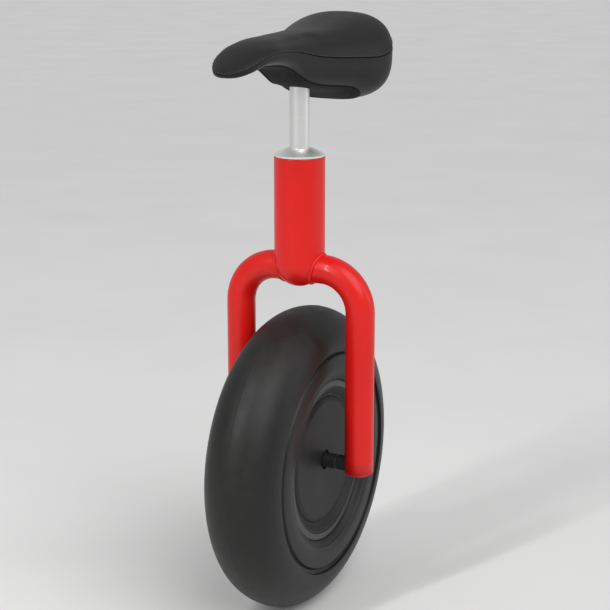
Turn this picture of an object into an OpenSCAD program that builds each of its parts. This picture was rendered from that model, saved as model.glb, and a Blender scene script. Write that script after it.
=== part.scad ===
// Unicycle with a fat pneumatic tyre, a two-legged tube fork, a clamped seat post and a nosed saddle.
// Z is up, +X is forward (towards the saddle nose), +Y is the rider's left.
// The origin is the point of the ground under the axle.

/* [Wheel] */
// Outer radius of the tyre
tyre_r = 203; // [180:1:230]
// Half of the width of the tyre
tyre_half_w = 52; // [40:1:60]
// Radius of the rim where the bead sits
bead_r = 101.6; // [95:0.1:110]
// Thickness of the pressed rim and the wheel covers
sheet_t = 2.5; // [2:0.1:3.5]
// Radius of the raised disc on each cover
disc_r = 84; // [70:1:90]
// Radius of the circle the rim bolts stand on
bolt_circle_r = 55; // [40:1:60]
// Number of rim bolts
rim_bolt_n = 5; // [3:1:8]

/* [Axle and bearings] */
// Radius of the axle
axle_r = 6; // [5:0.5:8]
// Half of the length of the axle
axle_half = 99.5; // [95:0.5:104]
// Distance of each bearing's middle from the middle of the wheel
bearing_y = 30; // [25:1:32]
// Number of balls in each bearing
ball_n = 7; // [6:1:8]

/* [Fork] */
// Distance of each leg's middle line from the middle of the wheel
leg_y = 87.5; // [80:0.5:100]
// Outer radius of the fork tube
leg_r = 19; // [16:0.5:22]
// Wall thickness of the fork tube
leg_wall = 2; // [1.5:0.1:3]
// Radius of the bend, to the tube's middle line
bend_r = 54; // [40:1:60]
// Height of the two arms' middle line
arm_z = 463; // [445:1:480]
// Height of the open bottom end of each leg
leg_end_z = 194; // [190:1:195]

/* [Neck and seat clamp] */
// Outer radius of the neck
neck_r = 33; // [28:0.5:38]
// Wall thickness of the neck
neck_wall = 3; // [2:0.5:4]
// Height where the neck's round bottom begins
neck_z = 471; // [465:1:480]
// Height of the neck's top rim
neck_top = 608; // [590:1:625]
// Height of the silver dome over the neck's rim
dome_h = 12.7; // [8:0.1:18]

/* [Seat post] */
// Outer radius of the seat post
post_r = 12.7; // [12:0.05:16]
// Wall thickness of the seat post
post_wall = 2; // [1.5:0.1:3]
// Height of the seat post's lower end
post_low = 514; // [500:1:540]
// Height of the underside of the seat plate
plate_z = 735; // [700:1:737]

/* [Saddle] */
// Forward end of the nose
nose_x = 194; // [170:1:202]
// Rear end of the saddle
tail_x = -152; // [-165:1:-130]
// Thickness of the saddle cover
cover_t = 4; // [3:0.5:6]
// Thickness of the pan that closes the saddle's underside
pan_t = 3; // [2:0.5:4]

/* [View] */
// Which sub-part to draw, or all of them

/* [Hidden] */
$fn = 96;
axle_z = tyre_r;
bend_y = leg_y - bend_r;
bend_z = arm_z - bend_r;
seat_x = bead_r - sheet_t;
lip_r = 108;
lip_y = 40;
plate_t = 4;
base_z = plate_z + plate_t;
base_t = 4;
foam_z = base_z + base_t + 0.1;
post_top = plate_z;
valve_r = 94;
plug_drop = 6;
plug_dome_r = (leg_r * leg_r + plug_drop * plug_drop) / (2 * plug_drop);
bolt_seat_z = leg_end_z - 1.5;
saddle_bolt_x = 42;
saddle_bolt_y = 18;

// ---------- helpers ----------

// A solid rod along Y between two stations, on the axle's line moved by dx and dz.
module rod(r, y0, y1, dx = 0, dz = 0) {
  translate([dx, y0, axle_z + dz])
    rotate([-90, 0, 0])
      cylinder(h = y1 - y0, r = r);
}

// Turns a profile of radius and Y about the axle's line.
module about_axle() {
  translate([0, 0, axle_z])
    rotate([-90, 0, 0])
      rotate_extrude()
        children();
}

// Places a child at each rim bolt.
module at_rim_bolts() {
  for (i = [0 : rim_bolt_n - 1])
    translate([0, 0, axle_z])
      rotate([0, 360 * i / rim_bolt_n, 0])
        translate([0, 0, bolt_circle_r - axle_z])
          children();
}

// A six-sided head or nut along Y, across flats af.
module hex_y(af, y0, y1) {
  translate([0, y0, axle_z])
    rotate([-90, 0, 0])
      cylinder(h = y1 - y0, r = af / 2 / cos(30), $fn = 6);
}

// The right-hand twin of a left-hand piece.
module right_of() {
  mirror([0, 1, 0])
    children();
}

// Places a child at each of the four saddle bolts.
module at_saddle_bolts() {
  for (sx = [-1, 1])
    for (sy = [-1, 1])
      translate([sx * saddle_bolt_x, sy * saddle_bolt_y, 0])
        children();
}

// ---------- frame ----------

// The neck's outer form: a cylinder with a round bottom.
module neck_form(r) {
  translate([0, 0, neck_z])
    cylinder(h = 160, r = r);
  translate([0, 0, neck_z])
    sphere(r = r);
}

module neck_tube() {
  color("firebrick")
    translate([0, 0, neck_z])
      difference() {
        cylinder(h = neck_top - neck_z, r = neck_r);
        translate([0, 0, -1])
          cylinder(h = neck_top - neck_z + 2, r = neck_r - neck_wall);
      }
}

module neck_dome() {
  color("firebrick")
    translate([0, 0, neck_z])
      difference() {
        sphere(r = neck_r);
        sphere(r = neck_r - neck_wall);
        translate([-40, -40, 0])
          cube([80, 80, 40]);
        translate([0, 0, -40])
          cylinder(h = 30, r = 3);
      }
}

// The bent run of one fork tube, as a solid bar of radius r.
module leg_bar(r, low) {
  translate([0, 15, arm_z])
    rotate([-90, 0, 0])
      cylinder(h = bend_y - 15, r = r);
  translate([0, bend_y, bend_z])
    rotate([90, 0, 90])
      rotate_extrude(angle = 90)
        translate([bend_r, 0])
          circle(r = r);
  translate([0, leg_y, low])
    cylinder(h = bend_z - low, r = r);
}

module leg_solid() {
  difference() {
    leg_bar(leg_r, leg_end_z);
    leg_bar(leg_r - leg_wall, leg_end_z - 1);
    neck_form(neck_r);
    translate([-6.1, 60, leg_end_z - 1])
      cube([12.2, 20, axle_z - leg_end_z + 1]);
    rod(6.1, 60, 80);
  }
}

module fork_leg_left() {
  color("firebrick")
    leg_solid();
}

module fork_leg_right() {
  color("firebrick")
    right_of()
      leg_solid();
}

// The upper half of the axle clamp, welded inside the leg and tapped for the clamp bolt.
module block_solid() {
  difference() {
    translate([0, leg_y, axle_z + 0.2])
      cylinder(h = 27.8, r = leg_r - leg_wall);
    rod(axle_r + 0.02, 60, 120);
    translate([0, leg_y, axle_z])
      cylinder(h = 40, r = 3);
  }
}

module axle_block_left() {
  color("silver")
    block_solid();
}

module axle_block_right() {
  color("silver")
    right_of()
      block_solid();
}

// The lower half of the axle clamp, closing the leg with a low round end.
module plug_solid() {
  difference() {
    union() {
      translate([0, leg_y, leg_end_z - 0.01])
        cylinder(h = axle_z - 0.2 - leg_end_z + 0.01, r = leg_r - leg_wall - 0.05);
      intersection() {
        translate([0, leg_y, leg_end_z - plug_drop + plug_dome_r])
          sphere(r = plug_dome_r, $fn = 120);
        translate([0, leg_y, leg_end_z - plug_drop - 3])
          cylinder(h = plug_drop + 3, r = leg_r);
      }
    }
    rod(axle_r + 0.02, 60, 120);
    translate([0, leg_y, 170])
      cylinder(h = 60, r = 3.2);
    translate([0, leg_y, 170])
      cylinder(h = bolt_seat_z - 170, r = 5.4);
  }
}

module leg_end_plug_left() {
  color("firebrick")
    plug_solid();
}

module leg_end_plug_right() {
  color("firebrick")
    right_of()
      plug_solid();
}

module clamp_bolt_solid() {
  difference() {
    union() {
      translate([0, leg_y, bolt_seat_z])
        cylinder(h = 30, r = 2.98);
      translate([0, leg_y, bolt_seat_z - 4])
        cylinder(h = 4, r = 5);
    }
    translate([0, leg_y, bolt_seat_z - 4.5])
      cylinder(h = 3, r = 2.5 / cos(30), $fn = 6);
  }
}

module axle_clamp_bolts() {
  color("silver") {
    clamp_bolt_solid();
    right_of()
      clamp_bolt_solid();
  }
}

module axle() {
  color("silver")
    difference() {
      about_axle()
        polygon([[0, -axle_half], [axle_r - 0.8, -axle_half], [axle_r, -axle_half + 0.8],
          [axle_r, axle_half - 0.8], [axle_r - 0.8, axle_half], [0, axle_half]]);
      for (s = [-1, 1])
        translate([0, s * leg_y, axle_z - 20])
          cylinder(h = 40, r = 3.1);
    }
}

// The tube on the axle between the two bearings' inner rings.
module bearing_spacer() {
  color("silver")
    about_axle()
      translate([axle_r + 0.05, -bearing_y + 5])
        square([1.95, 2 * bearing_y - 10]);
}

// The tube on the axle between a bearing and the fork leg, cut to the leg's round side.
module spacer_solid() {
  difference() {
    rod(10, bearing_y + 5, leg_y - leg_r + 6);
    rod(axle_r + 0.05, 30, 80);
    translate([0, leg_y, axle_z - 30])
      cylinder(h = 60, r = leg_r);
  }
}

module axle_spacer_left() {
  color("dimgray")
    spacer_solid();
}

module axle_spacer_right() {
  color("dimgray")
    right_of()
      spacer_solid();
}

// ---------- bearings ----------

module inner_ring_solid() {
  about_axle()
    difference() {
      translate([axle_r + 0.02, bearing_y - 5])
        square([9.1 - axle_r - 0.02, 10]);
      translate([11, bearing_y])
        circle(r = 3);
    }
}

module outer_ring_solid() {
  about_axle()
    difference() {
      translate([12.9, bearing_y - 5])
        square([3.1, 10]);
      translate([11, bearing_y])
        circle(r = 3);
    }
}

module seals_solid() {
  for (s = [-1, 1])
    about_axle()
      translate([9.4, bearing_y + s * 4.55 - 0.35])
        square([3.5, 0.7]);
}

module at_balls() {
  for (i = [0 : ball_n - 1])
    translate([0, 0, axle_z])
      rotate([0, 360 * i / ball_n, 0])
        translate([0, bearing_y, 11])
          children();
}

module balls_solid() {
  at_balls()
    sphere(r = 2.95, $fn = 36);
}

module cage_solid() {
  difference() {
    about_axle()
      translate([10.3, bearing_y - 3.9])
        square([1.4, 7.8]);
    at_balls()
      sphere(r = 3.05, $fn = 36);
  }
}

module bearing_inner_left() {
  color("silver")
    inner_ring_solid();
}

module bearing_inner_right() {
  color("silver")
    right_of()
      inner_ring_solid();
}

module bearing_outer_left() {
  color("silver")
    outer_ring_solid();
}

module bearing_outer_right() {
  color("silver")
    right_of()
      outer_ring_solid();
}

module bearing_seals_left() {
  color("dimgray")
    seals_solid();
}

module bearing_seals_right() {
  color("dimgray")
    right_of()
      seals_solid();
}

module bearing_balls_left() {
  color("silver")
    balls_solid();
}

module bearing_balls_right() {
  color("silver")
    right_of()
      balls_solid();
}

module bearing_cage_left() {
  color("peru")
    cage_solid();
}

module bearing_cage_right() {
  color("peru")
    right_of()
      cage_solid();
}

// ---------- wheel ----------

// One side of the tyre's wall, from the tread's edge to the rim's lip, as radius and Y.
module tyre_side_2d() {
  intersection() {
    translate([128, tyre_half_w - 81.25])
      circle(r = 81.25, $fn = 180);
    translate([127.9, 0])
      square([18.6, 60]);
  }
  intersection() {
    translate([128, tyre_half_w - 26.7])
      circle(r = 26.7);
    translate([lip_r + 0.3, 0])
      square([19.7, 60]);
  }
  translate([bead_r, 26])
    square([12, 14]);
}

module tyre() {
  color("dimgray")
    about_axle()
      difference() {
        union() {
          intersection() {
            translate([tyre_r - tyre_half_w, 0])
              circle(r = tyre_half_w);
            translate([146, -60])
              square([60, 120]);
          }
          tyre_side_2d();
          mirror([0, 1])
            tyre_side_2d();
        }
        intersection() {
          translate([tyre_r - tyre_half_w, 0])
            circle(r = tyre_half_w - 6);
          translate([146, -60])
            square([60, 120]);
        }
        polygon([[90, -27.2], [101, -27.2], [106, -29], [110, -36], [116, -43.5], [128, -47.6],
          [146.1, -45.6], [146.1, 45.6], [128, 47.6], [116, 43.5], [110, 36], [106, 29], [101, 27.2],
          [90, 27.2]]);
        for (s = [-1, 1])
          translate([148, s * (tyre_half_w + 0.6)])
            circle(r = 3.2, $fn = 36);
      }
}

module inner_tube() {
  color("dimgray")
    difference() {
      about_axle()
        difference() {
          union() {
            intersection() {
              translate([tyre_r - tyre_half_w, 0])
                circle(r = tyre_half_w - 6.4);
              translate([146, -60])
                square([60, 120]);
            }
            polygon([[102, -24], [104.5, -26.6], [106.4, -29.2], [110.4, -36.3], [116.2, -43], [128, -47.1],
              [146.1, -45.2], [146.1, 45.2], [128, 47.1], [116.2, 43], [110.4, 36.3], [106.4, 29.2],
              [104.5, 26.6], [102, 24]]);
          }
          intersection() {
            translate([tyre_r - tyre_half_w, 0])
              circle(r = tyre_half_w - 8.9);
            translate([146, -60])
              square([60, 120]);
          }
          polygon([[104.5, -21], [105.5, -23.5], [108, -27], [113, -35], [118, -40.6], [128, -44.4],
            [146.1, -42.7], [146.1, 42.7], [128, 44.4], [118, 40.6], [113, 35], [108, 27],
            [105.5, 23.5], [104.5, 21]]);
        }
      translate([0, 0, axle_z - 110])
        cylinder(h = 12, r = 1.2);
    }
}

// Rubber stem: a foot on the tube, an elbow in the rim's well and a straight run through the rim.
module valve_stem() {
  color("dimgray")
    difference() {
      union() {
        intersection() {
          translate([0, 0, axle_z - 105])
            cylinder(h = 105 - valve_r, r = 4.5);
          rod(101.98, -20, 20);
        }
        translate([0, 0, axle_z - valve_r])
          sphere(r = 4.5);
        rod(4.2, -34, 0, 0, -valve_r);
      }
      rod(3, -36, -10, 0, -valve_r);
      rod(1.2, -36, 0, 0, -valve_r);
      translate([0, 0, axle_z - 110])
        cylinder(h = 110 - valve_r, r = 1.2);
    }
}

// Brass insert moulded into the stem, with the threaded tip for a pump head.
module valve_insert() {
  color("goldenrod")
    difference() {
      union() {
        rod(2.98, -35, -10, 0, -valve_r);
        rod(3.85, -47, -34, 0, -valve_r);
      }
      rod(1.2, -48, -9, 0, -valve_r);
      rod(2.3, -48, -42, 0, -valve_r);
    }
}

// One half of the pressed split rim: disc, slope, bead seat and lip.
module rim_half_solid() {
  difference() {
    about_axle() {
      polygon([[22.05, 0], [86, 0], [bead_r, 12], [bead_r, lip_y], [seat_x, lip_y], [seat_x, 13.2],
        [84.8, sheet_t], [22.05, sheet_t]]);
      translate([seat_x, lip_y])
        square([lip_r - 1.25 - seat_x, sheet_t]);
      translate([lip_r - 1.25, lip_y + 1.25])
        circle(r = 1.25, $fn = 36);
    }
    at_rim_bolts()
      rod(4.3, -1, 5);
  }
}

module rim_half_left() {
  color("gray")
    rim_half_solid();
}

module rim_half_right() {
  color("gray")
    difference() {
      right_of()
        rim_half_solid();
      rod(4.5, -30, 0, 0, -valve_r);
    }
}

module hub_shell() {
  color("gray")
    difference() {
      about_axle()
        polygon([[13.5, -25], [16.01, -25], [16.01, -35], [21, -35], [22, -34], [22, 2.5], [66, 2.5],
          [66, 6.5], [64, 8.5], [30, 8.5], [22, 16], [22, 34], [21, 35], [16.01, 35], [16.01, 25],
          [13.5, 25]]);
      at_rim_bolts()
        rod(4.3, 1, 10);
    }
}

module rim_bolts() {
  color("silver")
    at_rim_bolts() {
      rod(3.98, -15, 8.6);
      hex_y(13, 8.5, 13.8);
    }
}

module rim_washers() {
  color("silver")
    at_rim_bolts()
      difference() {
        rod(8, -sheet_t - 1.6, -sheet_t);
        rod(4.2, -10, 0);
      }
}

module rim_nuts() {
  color("silver")
    at_rim_bolts()
      difference() {
        hex_y(13, -sheet_t - 8.4, -sheet_t - 1.6);
        rod(4, -20, 0);
      }
}

// Dished moulding pressed into the rim: a sunk ring and a raised flat disc with a bevelled edge.
module cover_solid() {
  about_axle()
    polygon([[13, 38.2], [disc_r - 3.5, 38.2], [disc_r, 36.6], [disc_r + 2, 34.2], [disc_r + 4.5, 34.2],
      [96.6, 41.5], [seat_x - 0.05, 41.5], [seat_x - 0.05, 30], [96.8, 30], [96.8, 38.2],
      [disc_r + 5.4, 31.7], [disc_r + 0.8, 31.7], [disc_r - 1.4, 34.2], [disc_r - 4.1, 35.7],
      [13, 35.7]]);
}

module hub_cover_left() {
  color("dimgray")
    cover_solid();
}

module hub_cover_right() {
  color("dimgray")
    difference() {
      right_of()
        cover_solid();
      rod(5.6, -45, -28, 0, -valve_r);
    }
}

// ---------- seat clamp ----------

// Ring inside the neck: a thread bore for the nut above a taper for the collet.
module collet_seat() {
  color("silver")
    rotate_extrude()
      polygon([[17, neck_top - 28], [neck_r - neck_wall, neck_top - 28], [neck_r - neck_wall, neck_top],
        [26, neck_top], [26, neck_top - 12], [22, neck_top - 12], [17, neck_top - 27]]);
}

// Split cone that grips the post when the nut presses it down.
module collet() {
  color("goldenrod")
    difference() {
      rotate_extrude()
        polygon([[post_r + 0.05, neck_top - 26], [17.233, neck_top - 26], [21.9, neck_top - 12],
          [21.9, neck_top - 8.2], [post_r + 0.05, neck_top - 8.2]]);
      for (i = [0 : 5])
        rotate([0, 0, 60 * i + 30])
          translate([post_r - 2, -0.75, neck_top - 27])
            cube([15, 1.5, 15]);
    }
}

module thrust_washer() {
  color("silver")
    translate([0, 0, neck_top - 8])
      difference() {
        cylinder(h = 2, r = 25.5);
        translate([0, 0, -1])
          cylinder(h = 4, r = post_r + 0.5);
      }
}

// Low silver dome with a threaded spigot that goes down into the neck.
module dome_nut() {
  dome_r = neck_r - 1;
  cap_h = dome_h - 2.2;
  cap_r = (dome_r * dome_r + cap_h * cap_h) / (2 * cap_h);
  color("silver")
    difference() {
      union() {
        translate([0, 0, neck_top - 5.8])
          cylinder(h = 6.2, r = 25.9);
        intersection() {
          translate([0, 0, neck_top + 0.3])
            cylinder(h = 20, r = dome_r);
          translate([0, 0, neck_top + 0.3 + dome_h - cap_r])
            sphere(r = cap_r, $fn = 180);
        }
      }
      translate([0, 0, neck_top - 10])
        cylinder(h = 40, r = post_r + 0.4);
    }
}

module guide_bush() {
  color("ivory")
    translate([0, 0, 548])
      difference() {
        cylinder(h = 20, r = neck_r - neck_wall - 0.02);
        translate([0, 0, -1])
          cylinder(h = 22, r = post_r + 0.1);
      }
}

// ---------- seat post ----------

module seat_post() {
  color("silver")
    translate([0, 0, post_low])
      difference() {
        cylinder(h = post_top - post_low, r = post_r);
        translate([0, 0, -1])
          cylinder(h = post_top - post_low + 2, r = post_r - post_wall);
      }
}

module post_end_plug() {
  color("dimgray") {
    translate([0, 0, post_low - 2])
      cylinder(h = 2, r = post_r);
    translate([0, 0, post_low - 0.01])
      cylinder(h = 8, r = post_r - post_wall - 0.02);
  }
}

module post_plate() {
  color("silver")
    difference() {
      union() {
        translate([-60, -24, plate_z])
          cube([120, 48, plate_t]);
        translate([-52, -32, plate_z])
          cube([104, 64, plate_t]);
        for (sx = [-1, 1])
          for (sy = [-1, 1])
            translate([sx * 52, sy * 24, plate_z])
              cylinder(h = plate_t, r = 8);
      }
      at_saddle_bolts()
        translate([0, 0, plate_z - 1])
          cylinder(h = plate_t + 2, r = 3.3);
    }
}

// ---------- saddle ----------

// Stations along the saddle from tail to nose: share of the length, half width, crest, underside.
ST = [[0, 94, 810, 691], [0.16, 85, 783, 672], [0.33, 64, 769, 687], [0.5, 45, 766, 700],
  [0.66, 37, 764, 725], [0.84, 37, 760, 732], [1, 37, 736, 716]];

function clampi(i) = max(0, min(len(ST) - 1, i));
function seg(u, i = 0) = i >= len(ST) - 2 || u < ST[i + 1][0] ? i : seg(u, i + 1);
function slope(i, c) = (ST[clampi(i + 1)][c] - ST[clampi(i - 1)][c])
  / (ST[clampi(i + 1)][0] - ST[clampi(i - 1)][0]);
function cubic(p0, m0, p1, m1, t) = (2 * t * t * t - 3 * t * t + 1) * p0
  + (t * t * t - 2 * t * t + t) * m0 + (3 * t * t - 2 * t * t * t) * p1 + (t * t * t - t * t) * m1;
// Smooth value of column c at share u of the length.
function st(u, c) = let (i = seg(u), w = ST[i + 1][0] - ST[i][0], t = (u - ST[i][0]) / w)
  cubic(ST[i][c], slope(i, c) * w, ST[i + 1][c], slope(i + 1, c) * w, t);
// How the width and height close in at the two ends, and the share of length a station stands at.
function close_in(u) = sqrt(max(0, 1 - pow(abs(2 * u - 1), 6.4)));
function share(x, g) = max(0, min(1, (x - tail_x - g) / (nose_x - tail_x - 2 * g)));
function half_w(x, g) = let (u = share(x, g)) max(0.01, (st(u, 1) - g) * close_in(u));
function mid_z(x, g) = let (u = share(x, g)) (st(u, 2) + st(u, 3)) / 2;
function half_h(x, g) = let (u = share(x, g)) max(0, ((st(u, 2) - st(u, 3)) / 2 - g) * close_in(u));
// Height of the skin at a plan point, above or below the widest line, g inside the outer face.
function skin_top(x, y, g) = let (q = min(1, abs(y) / half_w(x, g)))
  mid_z(x, g) + half_h(x, g) * pow(max(0, 1 - pow(q, 2.5)), 0.4);
function skin_low(x, y, g) = let (q = min(1, abs(y) / half_w(x, g)))
  mid_z(x, g) - half_h(x, g) * pow(max(0, 1 - pow(q, 2.857)), 0.35);

KU = 24;
function plan_u(k) = (1 - cos(180 * k / KU)) / 2;
// Plan outline, walked once round from the tail along +Y to the nose and back along -Y.
function outline(k, g) = let (kk = k <= KU ? k : 2 * KU - k, s = k <= KU ? 1 : -1, u = plan_u(kk),
  x = tail_x + g + (nose_x - tail_x - 2 * g) * u) [x, s * (st(u, 1) - g) * close_in(u)];
centre_x = 26;
function plan(k, g, s) = let (p = outline(k, g)) [centre_x + (p[0] - centre_x) * s, p[1] * s];
// One ring of the skin at angle a: 0 is the widest line, 90 the crest, negative below.
function ring(a, g) = [for (k = [0 : 2 * KU - 1]) let (p = plan(k, g, pow(cos(a), a < 0 ? 0.7 : 0.8)))
  [p[0], p[1], a > 0 ? skin_top(p[0], p[1], g) : a < 0 ? skin_low(p[0], p[1], g) : mid_z(p[0], g)]];

RIM_A = -55;
UP = [-55, -42, -30, -20, -11, -4, 0, 5, 12, 20, 29, 38, 48, 58, 68, 78];
N = 2 * KU;
// Side faces between ring i and ring j of N points, wound so the solid stays on the inner side.
function band(i, j, m = N) = [for (k = [0 : m - 1]) each
  [[i * m + k, j * m + k, j * m + (k + 1) % m], [i * m + k, j * m + (k + 1) % m, i * m + (k + 1) % m]]];
function fan_up(i, tip, m = N) = [for (k = [0 : m - 1]) [i * m + k, tip, i * m + (k + 1) % m]];
function fan_dn(i, tip, m = N) = [for (k = [0 : m - 1]) [i * m + (k + 1) % m, tip, i * m + k]];

// Closed shell from the rim over the crest and back inside.
module saddle_cover() {
  n = len(UP);
  outer = [for (a = UP) each ring(a, 0)];
  inner = [for (i = [n - 1 : -1 : 0]) each ring(UP[i], cover_t)];
  tips = [[centre_x, 0, skin_top(centre_x, 0, 0)], [centre_x, 0, skin_top(centre_x, 0, cover_t)]];
  faces = concat([for (i = [0 : n - 2]) each band(i, i + 1)], fan_up(n - 1, 2 * n * N),
    fan_dn(n, 2 * n * N + 1), [for (i = [n : 2 * n - 2]) each band(i, i + 1)], band(2 * n - 1, 0));
  color("dimgray")
    polyhedron(points = concat(outer, inner, tips), faces = faces, convexity = 6);
}

// Padding between the base and the cover, cut flat on the base and square at the nose.
module saddle_foam() {
  g = cover_t + 1;
  up = [for (a = UP) if (a >= 0) a];
  n = len(up);
  pts = concat([for (a = up) each ring(a, g)],
    [[centre_x, 0, skin_top(centre_x, 0, g)], [centre_x, 0, base_z - 40]]);
  faces = concat([for (i = [0 : n - 2]) each band(i, i + 1)], fan_up(n - 1, n * N),
    fan_dn(0, n * N + 1));
  color("khaki")
    difference() {
      polyhedron(points = pts, faces = faces, convexity = 4);
      translate([-200, -150, foam_z - 120])
        cube([500, 300, 120]);
      translate([160, -60, foam_z - 5])
        cube([60, 120, 60]);
    }
}

// One ring of the underside at share s of the plan outline.
function low_ring(s, g) = [for (k = [0 : N - 1]) let (p = plan(k, g, s)) [p[0], p[1],
  skin_low(p[0], p[1], g)]];
TRIM_A = -62;
trim_t = 2.4;

// Strip between the cover's rim and the pan, standing a little proud of both.
module saddle_edge_trim() {
  low = TRIM_A + 0.3;
  high = RIM_A - 0.3;
  m = ring((RIM_A + TRIM_A) / 2, -1);
  pts = concat(ring(low, 0), m, ring(high, 0), ring(high, trim_t), ring(low, trim_t));
  color("black")
    polyhedron(points = pts, faces = concat(band(0, 1), band(1, 2), band(2, 3), band(3, 4), band(4, 0)),
      convexity = 6);
}

// Thin pan over the underside, holed for the post; it clips on once the saddle is bolted down.
module saddle_pan() {
  shares = [for (i = [0 : 5]) pow(cos(TRIM_A), 0.7) * (1 - i / 6)];
  n = len(shares);
  pts = concat([for (i = [n - 1 : -1 : 0]) each low_ring(shares[i], 0)],
    [for (i = [0 : n - 1]) each low_ring(shares[i], pan_t)],
    [[centre_x, 0, skin_low(centre_x, 0, 0)], [centre_x, 0, skin_low(centre_x, 0, pan_t)]]);
  faces = concat([for (i = [0 : 2 * n - 2]) each band(i, i + 1)], fan_dn(0, 2 * n * N),
    fan_up(2 * n - 1, 2 * n * N + 1));
  color("dimgray")
    difference() {
      polyhedron(points = pts, faces = faces, convexity = 4);
      translate([0, 0, 680])
        cylinder(h = 60, r = post_r + 0.9);
    }
}

// Half width of the moulded base at x.
function base_y(x) = let (u = share(x, cover_t))
  half_w(x, cover_t) * lookup(u, [[0, 0.8], [0.66, 0.8], [0.84, 0.55], [0.9, 0.4]]);
base_x = [-128, -124, -116, -104, -90, -72, -52, -30, -5, 20, 45, 70, 95, 115, 132, 146, 155, 160];

module saddle_base() {
  e = len(base_x) - 1;
  side = [for (i = [0 : e]) [base_x[i], base_y(base_x[i]) * (i == 0 || i == e ? 0.55 : 1)]];
  back = [for (i = [e : -1 : 0]) [side[i][0], -side[i][1]]];
  color("dimgray")
    difference() {
      union() {
        translate([0, 0, base_z])
          linear_extrude(height = base_t)
            polygon(concat(side, back));
        for (s = [-1, 1]) {
          translate([-118, s * 34 - 1.5, base_z - 8])
            cube([50, 3, 8.5]);
          translate([62, s * 8 - 1.5, base_z - 4])
            cube([46, 3, 4.5]);
        }
      }
      at_saddle_bolts() {
        translate([0, 0, base_z - 1])
          cylinder(h = base_t + 2, r = 3.05);
        translate([0, 0, base_z + base_t - 2.5])
          cylinder(h = 4, r = 7.05);
      }
    }
}

module saddle_bolts() {
  color("silver")
    at_saddle_bolts() {
      translate([0, 0, plate_z - 13])
        cylinder(h = base_z + base_t - plate_z + 11, r = 3);
      translate([0, 0, base_z + base_t - 2.5])
        cylinder(h = 2.5, r = 7);
    }
}

module saddle_washers() {
  color("silver")
    at_saddle_bolts()
      translate([0, 0, plate_z - 1.6])
        difference() {
          cylinder(h = 1.6, r = 6.25);
          translate([0, 0, -1])
            cylinder(h = 4, r = 3.2);
        }
}

module saddle_nuts() {
  color("silver")
    at_saddle_bolts()
      translate([0, 0, plate_z - 6.6])
        difference() {
          cylinder(h = 5, r = 5 / cos(30), $fn = 6);
          translate([0, 0, -1])
            cylinder(h = 7, r = 3.02);
        }
}

// ---------- the assembly ----------

neck_tube();
neck_dome();
collet_seat();
guide_bush();
fork_leg_left();
fork_leg_right();
axle_block_left();
axle_block_right();
leg_end_plug_left();
leg_end_plug_right();
axle_clamp_bolts();
axle();
bearing_spacer();
axle_spacer_left();
axle_spacer_right();
bearing_inner_left();
bearing_inner_right();
tyre();
inner_tube();
valve_stem();
valve_insert();
rim_half_left();
rim_half_right();
hub_shell();
rim_bolts();
rim_washers();
rim_nuts();
hub_cover_left();
hub_cover_right();
bearing_outer_left();
bearing_outer_right();
bearing_seals_left();
bearing_seals_right();
bearing_balls_left();
bearing_balls_right();
bearing_cage_left();
bearing_cage_right();
collet();
thrust_washer();
dome_nut();
seat_post();
post_end_plug();
post_plate();
saddle_base();
saddle_foam();
saddle_cover();
saddle_edge_trim();
saddle_pan();
saddle_bolts();
saddle_washers();
saddle_nuts();
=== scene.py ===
"""Unicycle: outer shapes, saddle and finishes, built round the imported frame.

Lengths inside the classes are millimetres in the frame's own axes: +X forward, +Y the rider's
left, +Z up, with the ground under the axle at zero. Meshes are written in metres.
"""
import logging
import math
from dataclasses import dataclass
from enum import Enum
from typing import Mapping, Sequence

import bmesh
import bpy
import numpy as np
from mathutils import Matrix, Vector


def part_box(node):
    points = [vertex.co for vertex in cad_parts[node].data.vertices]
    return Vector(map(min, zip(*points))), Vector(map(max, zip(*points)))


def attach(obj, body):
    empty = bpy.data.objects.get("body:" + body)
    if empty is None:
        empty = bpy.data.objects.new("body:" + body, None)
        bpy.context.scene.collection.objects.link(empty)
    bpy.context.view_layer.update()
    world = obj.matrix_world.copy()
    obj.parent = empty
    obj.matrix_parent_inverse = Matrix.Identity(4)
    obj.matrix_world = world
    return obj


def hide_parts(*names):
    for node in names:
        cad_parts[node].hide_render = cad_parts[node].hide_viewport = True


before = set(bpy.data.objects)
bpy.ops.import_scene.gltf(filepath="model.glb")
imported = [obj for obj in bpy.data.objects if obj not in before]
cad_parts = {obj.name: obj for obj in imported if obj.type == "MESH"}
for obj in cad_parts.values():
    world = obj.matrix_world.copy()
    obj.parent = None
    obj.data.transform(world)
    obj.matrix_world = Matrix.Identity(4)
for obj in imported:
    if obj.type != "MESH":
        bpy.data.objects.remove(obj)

Array = np.ndarray
MM = 0.001
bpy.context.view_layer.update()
LOG = logging.getLogger("unicycle")
BUILT: dict[str, bpy.types.Material] = {}
AXLE_R = 6.0  # radius of the axle, in millimetres
TREAD_FROM, TREAD_TO = 0.172, 0.202  # metres from the axle over which the tread's dust comes in
CUTTER_SIDES = 48  # sides of the cutter that drills a round hole
SHARP_ANGLE = 40  # degrees from which an edge of a drilled piece is shaded sharp
SKY_SPREAD = 50  # degrees of sky that the wide light comes from
ACROSS = Vector((0, 1, 0))
UPWARD = Vector((0, 0, 1))


# ---------------------------------------------------------------- node and colour helpers


def linear(code: str) -> tuple[float, float, float, float]:
    """Turn an sRGB hex colour into linear light.

    Args:
        code: Six hex digits after a hash sign.

    Returns:
        Linear red, green and blue, and full opacity.
    """
    parts = np.array([int(code[i:i + 2], 16) for i in (1, 3, 5)]) / 255
    light = np.where(parts <= 0.04045, parts / 12.92, ((parts + 0.055) / 1.055) ** 2.4)
    return (*(float(value) for value in light), 1.0)


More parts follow.
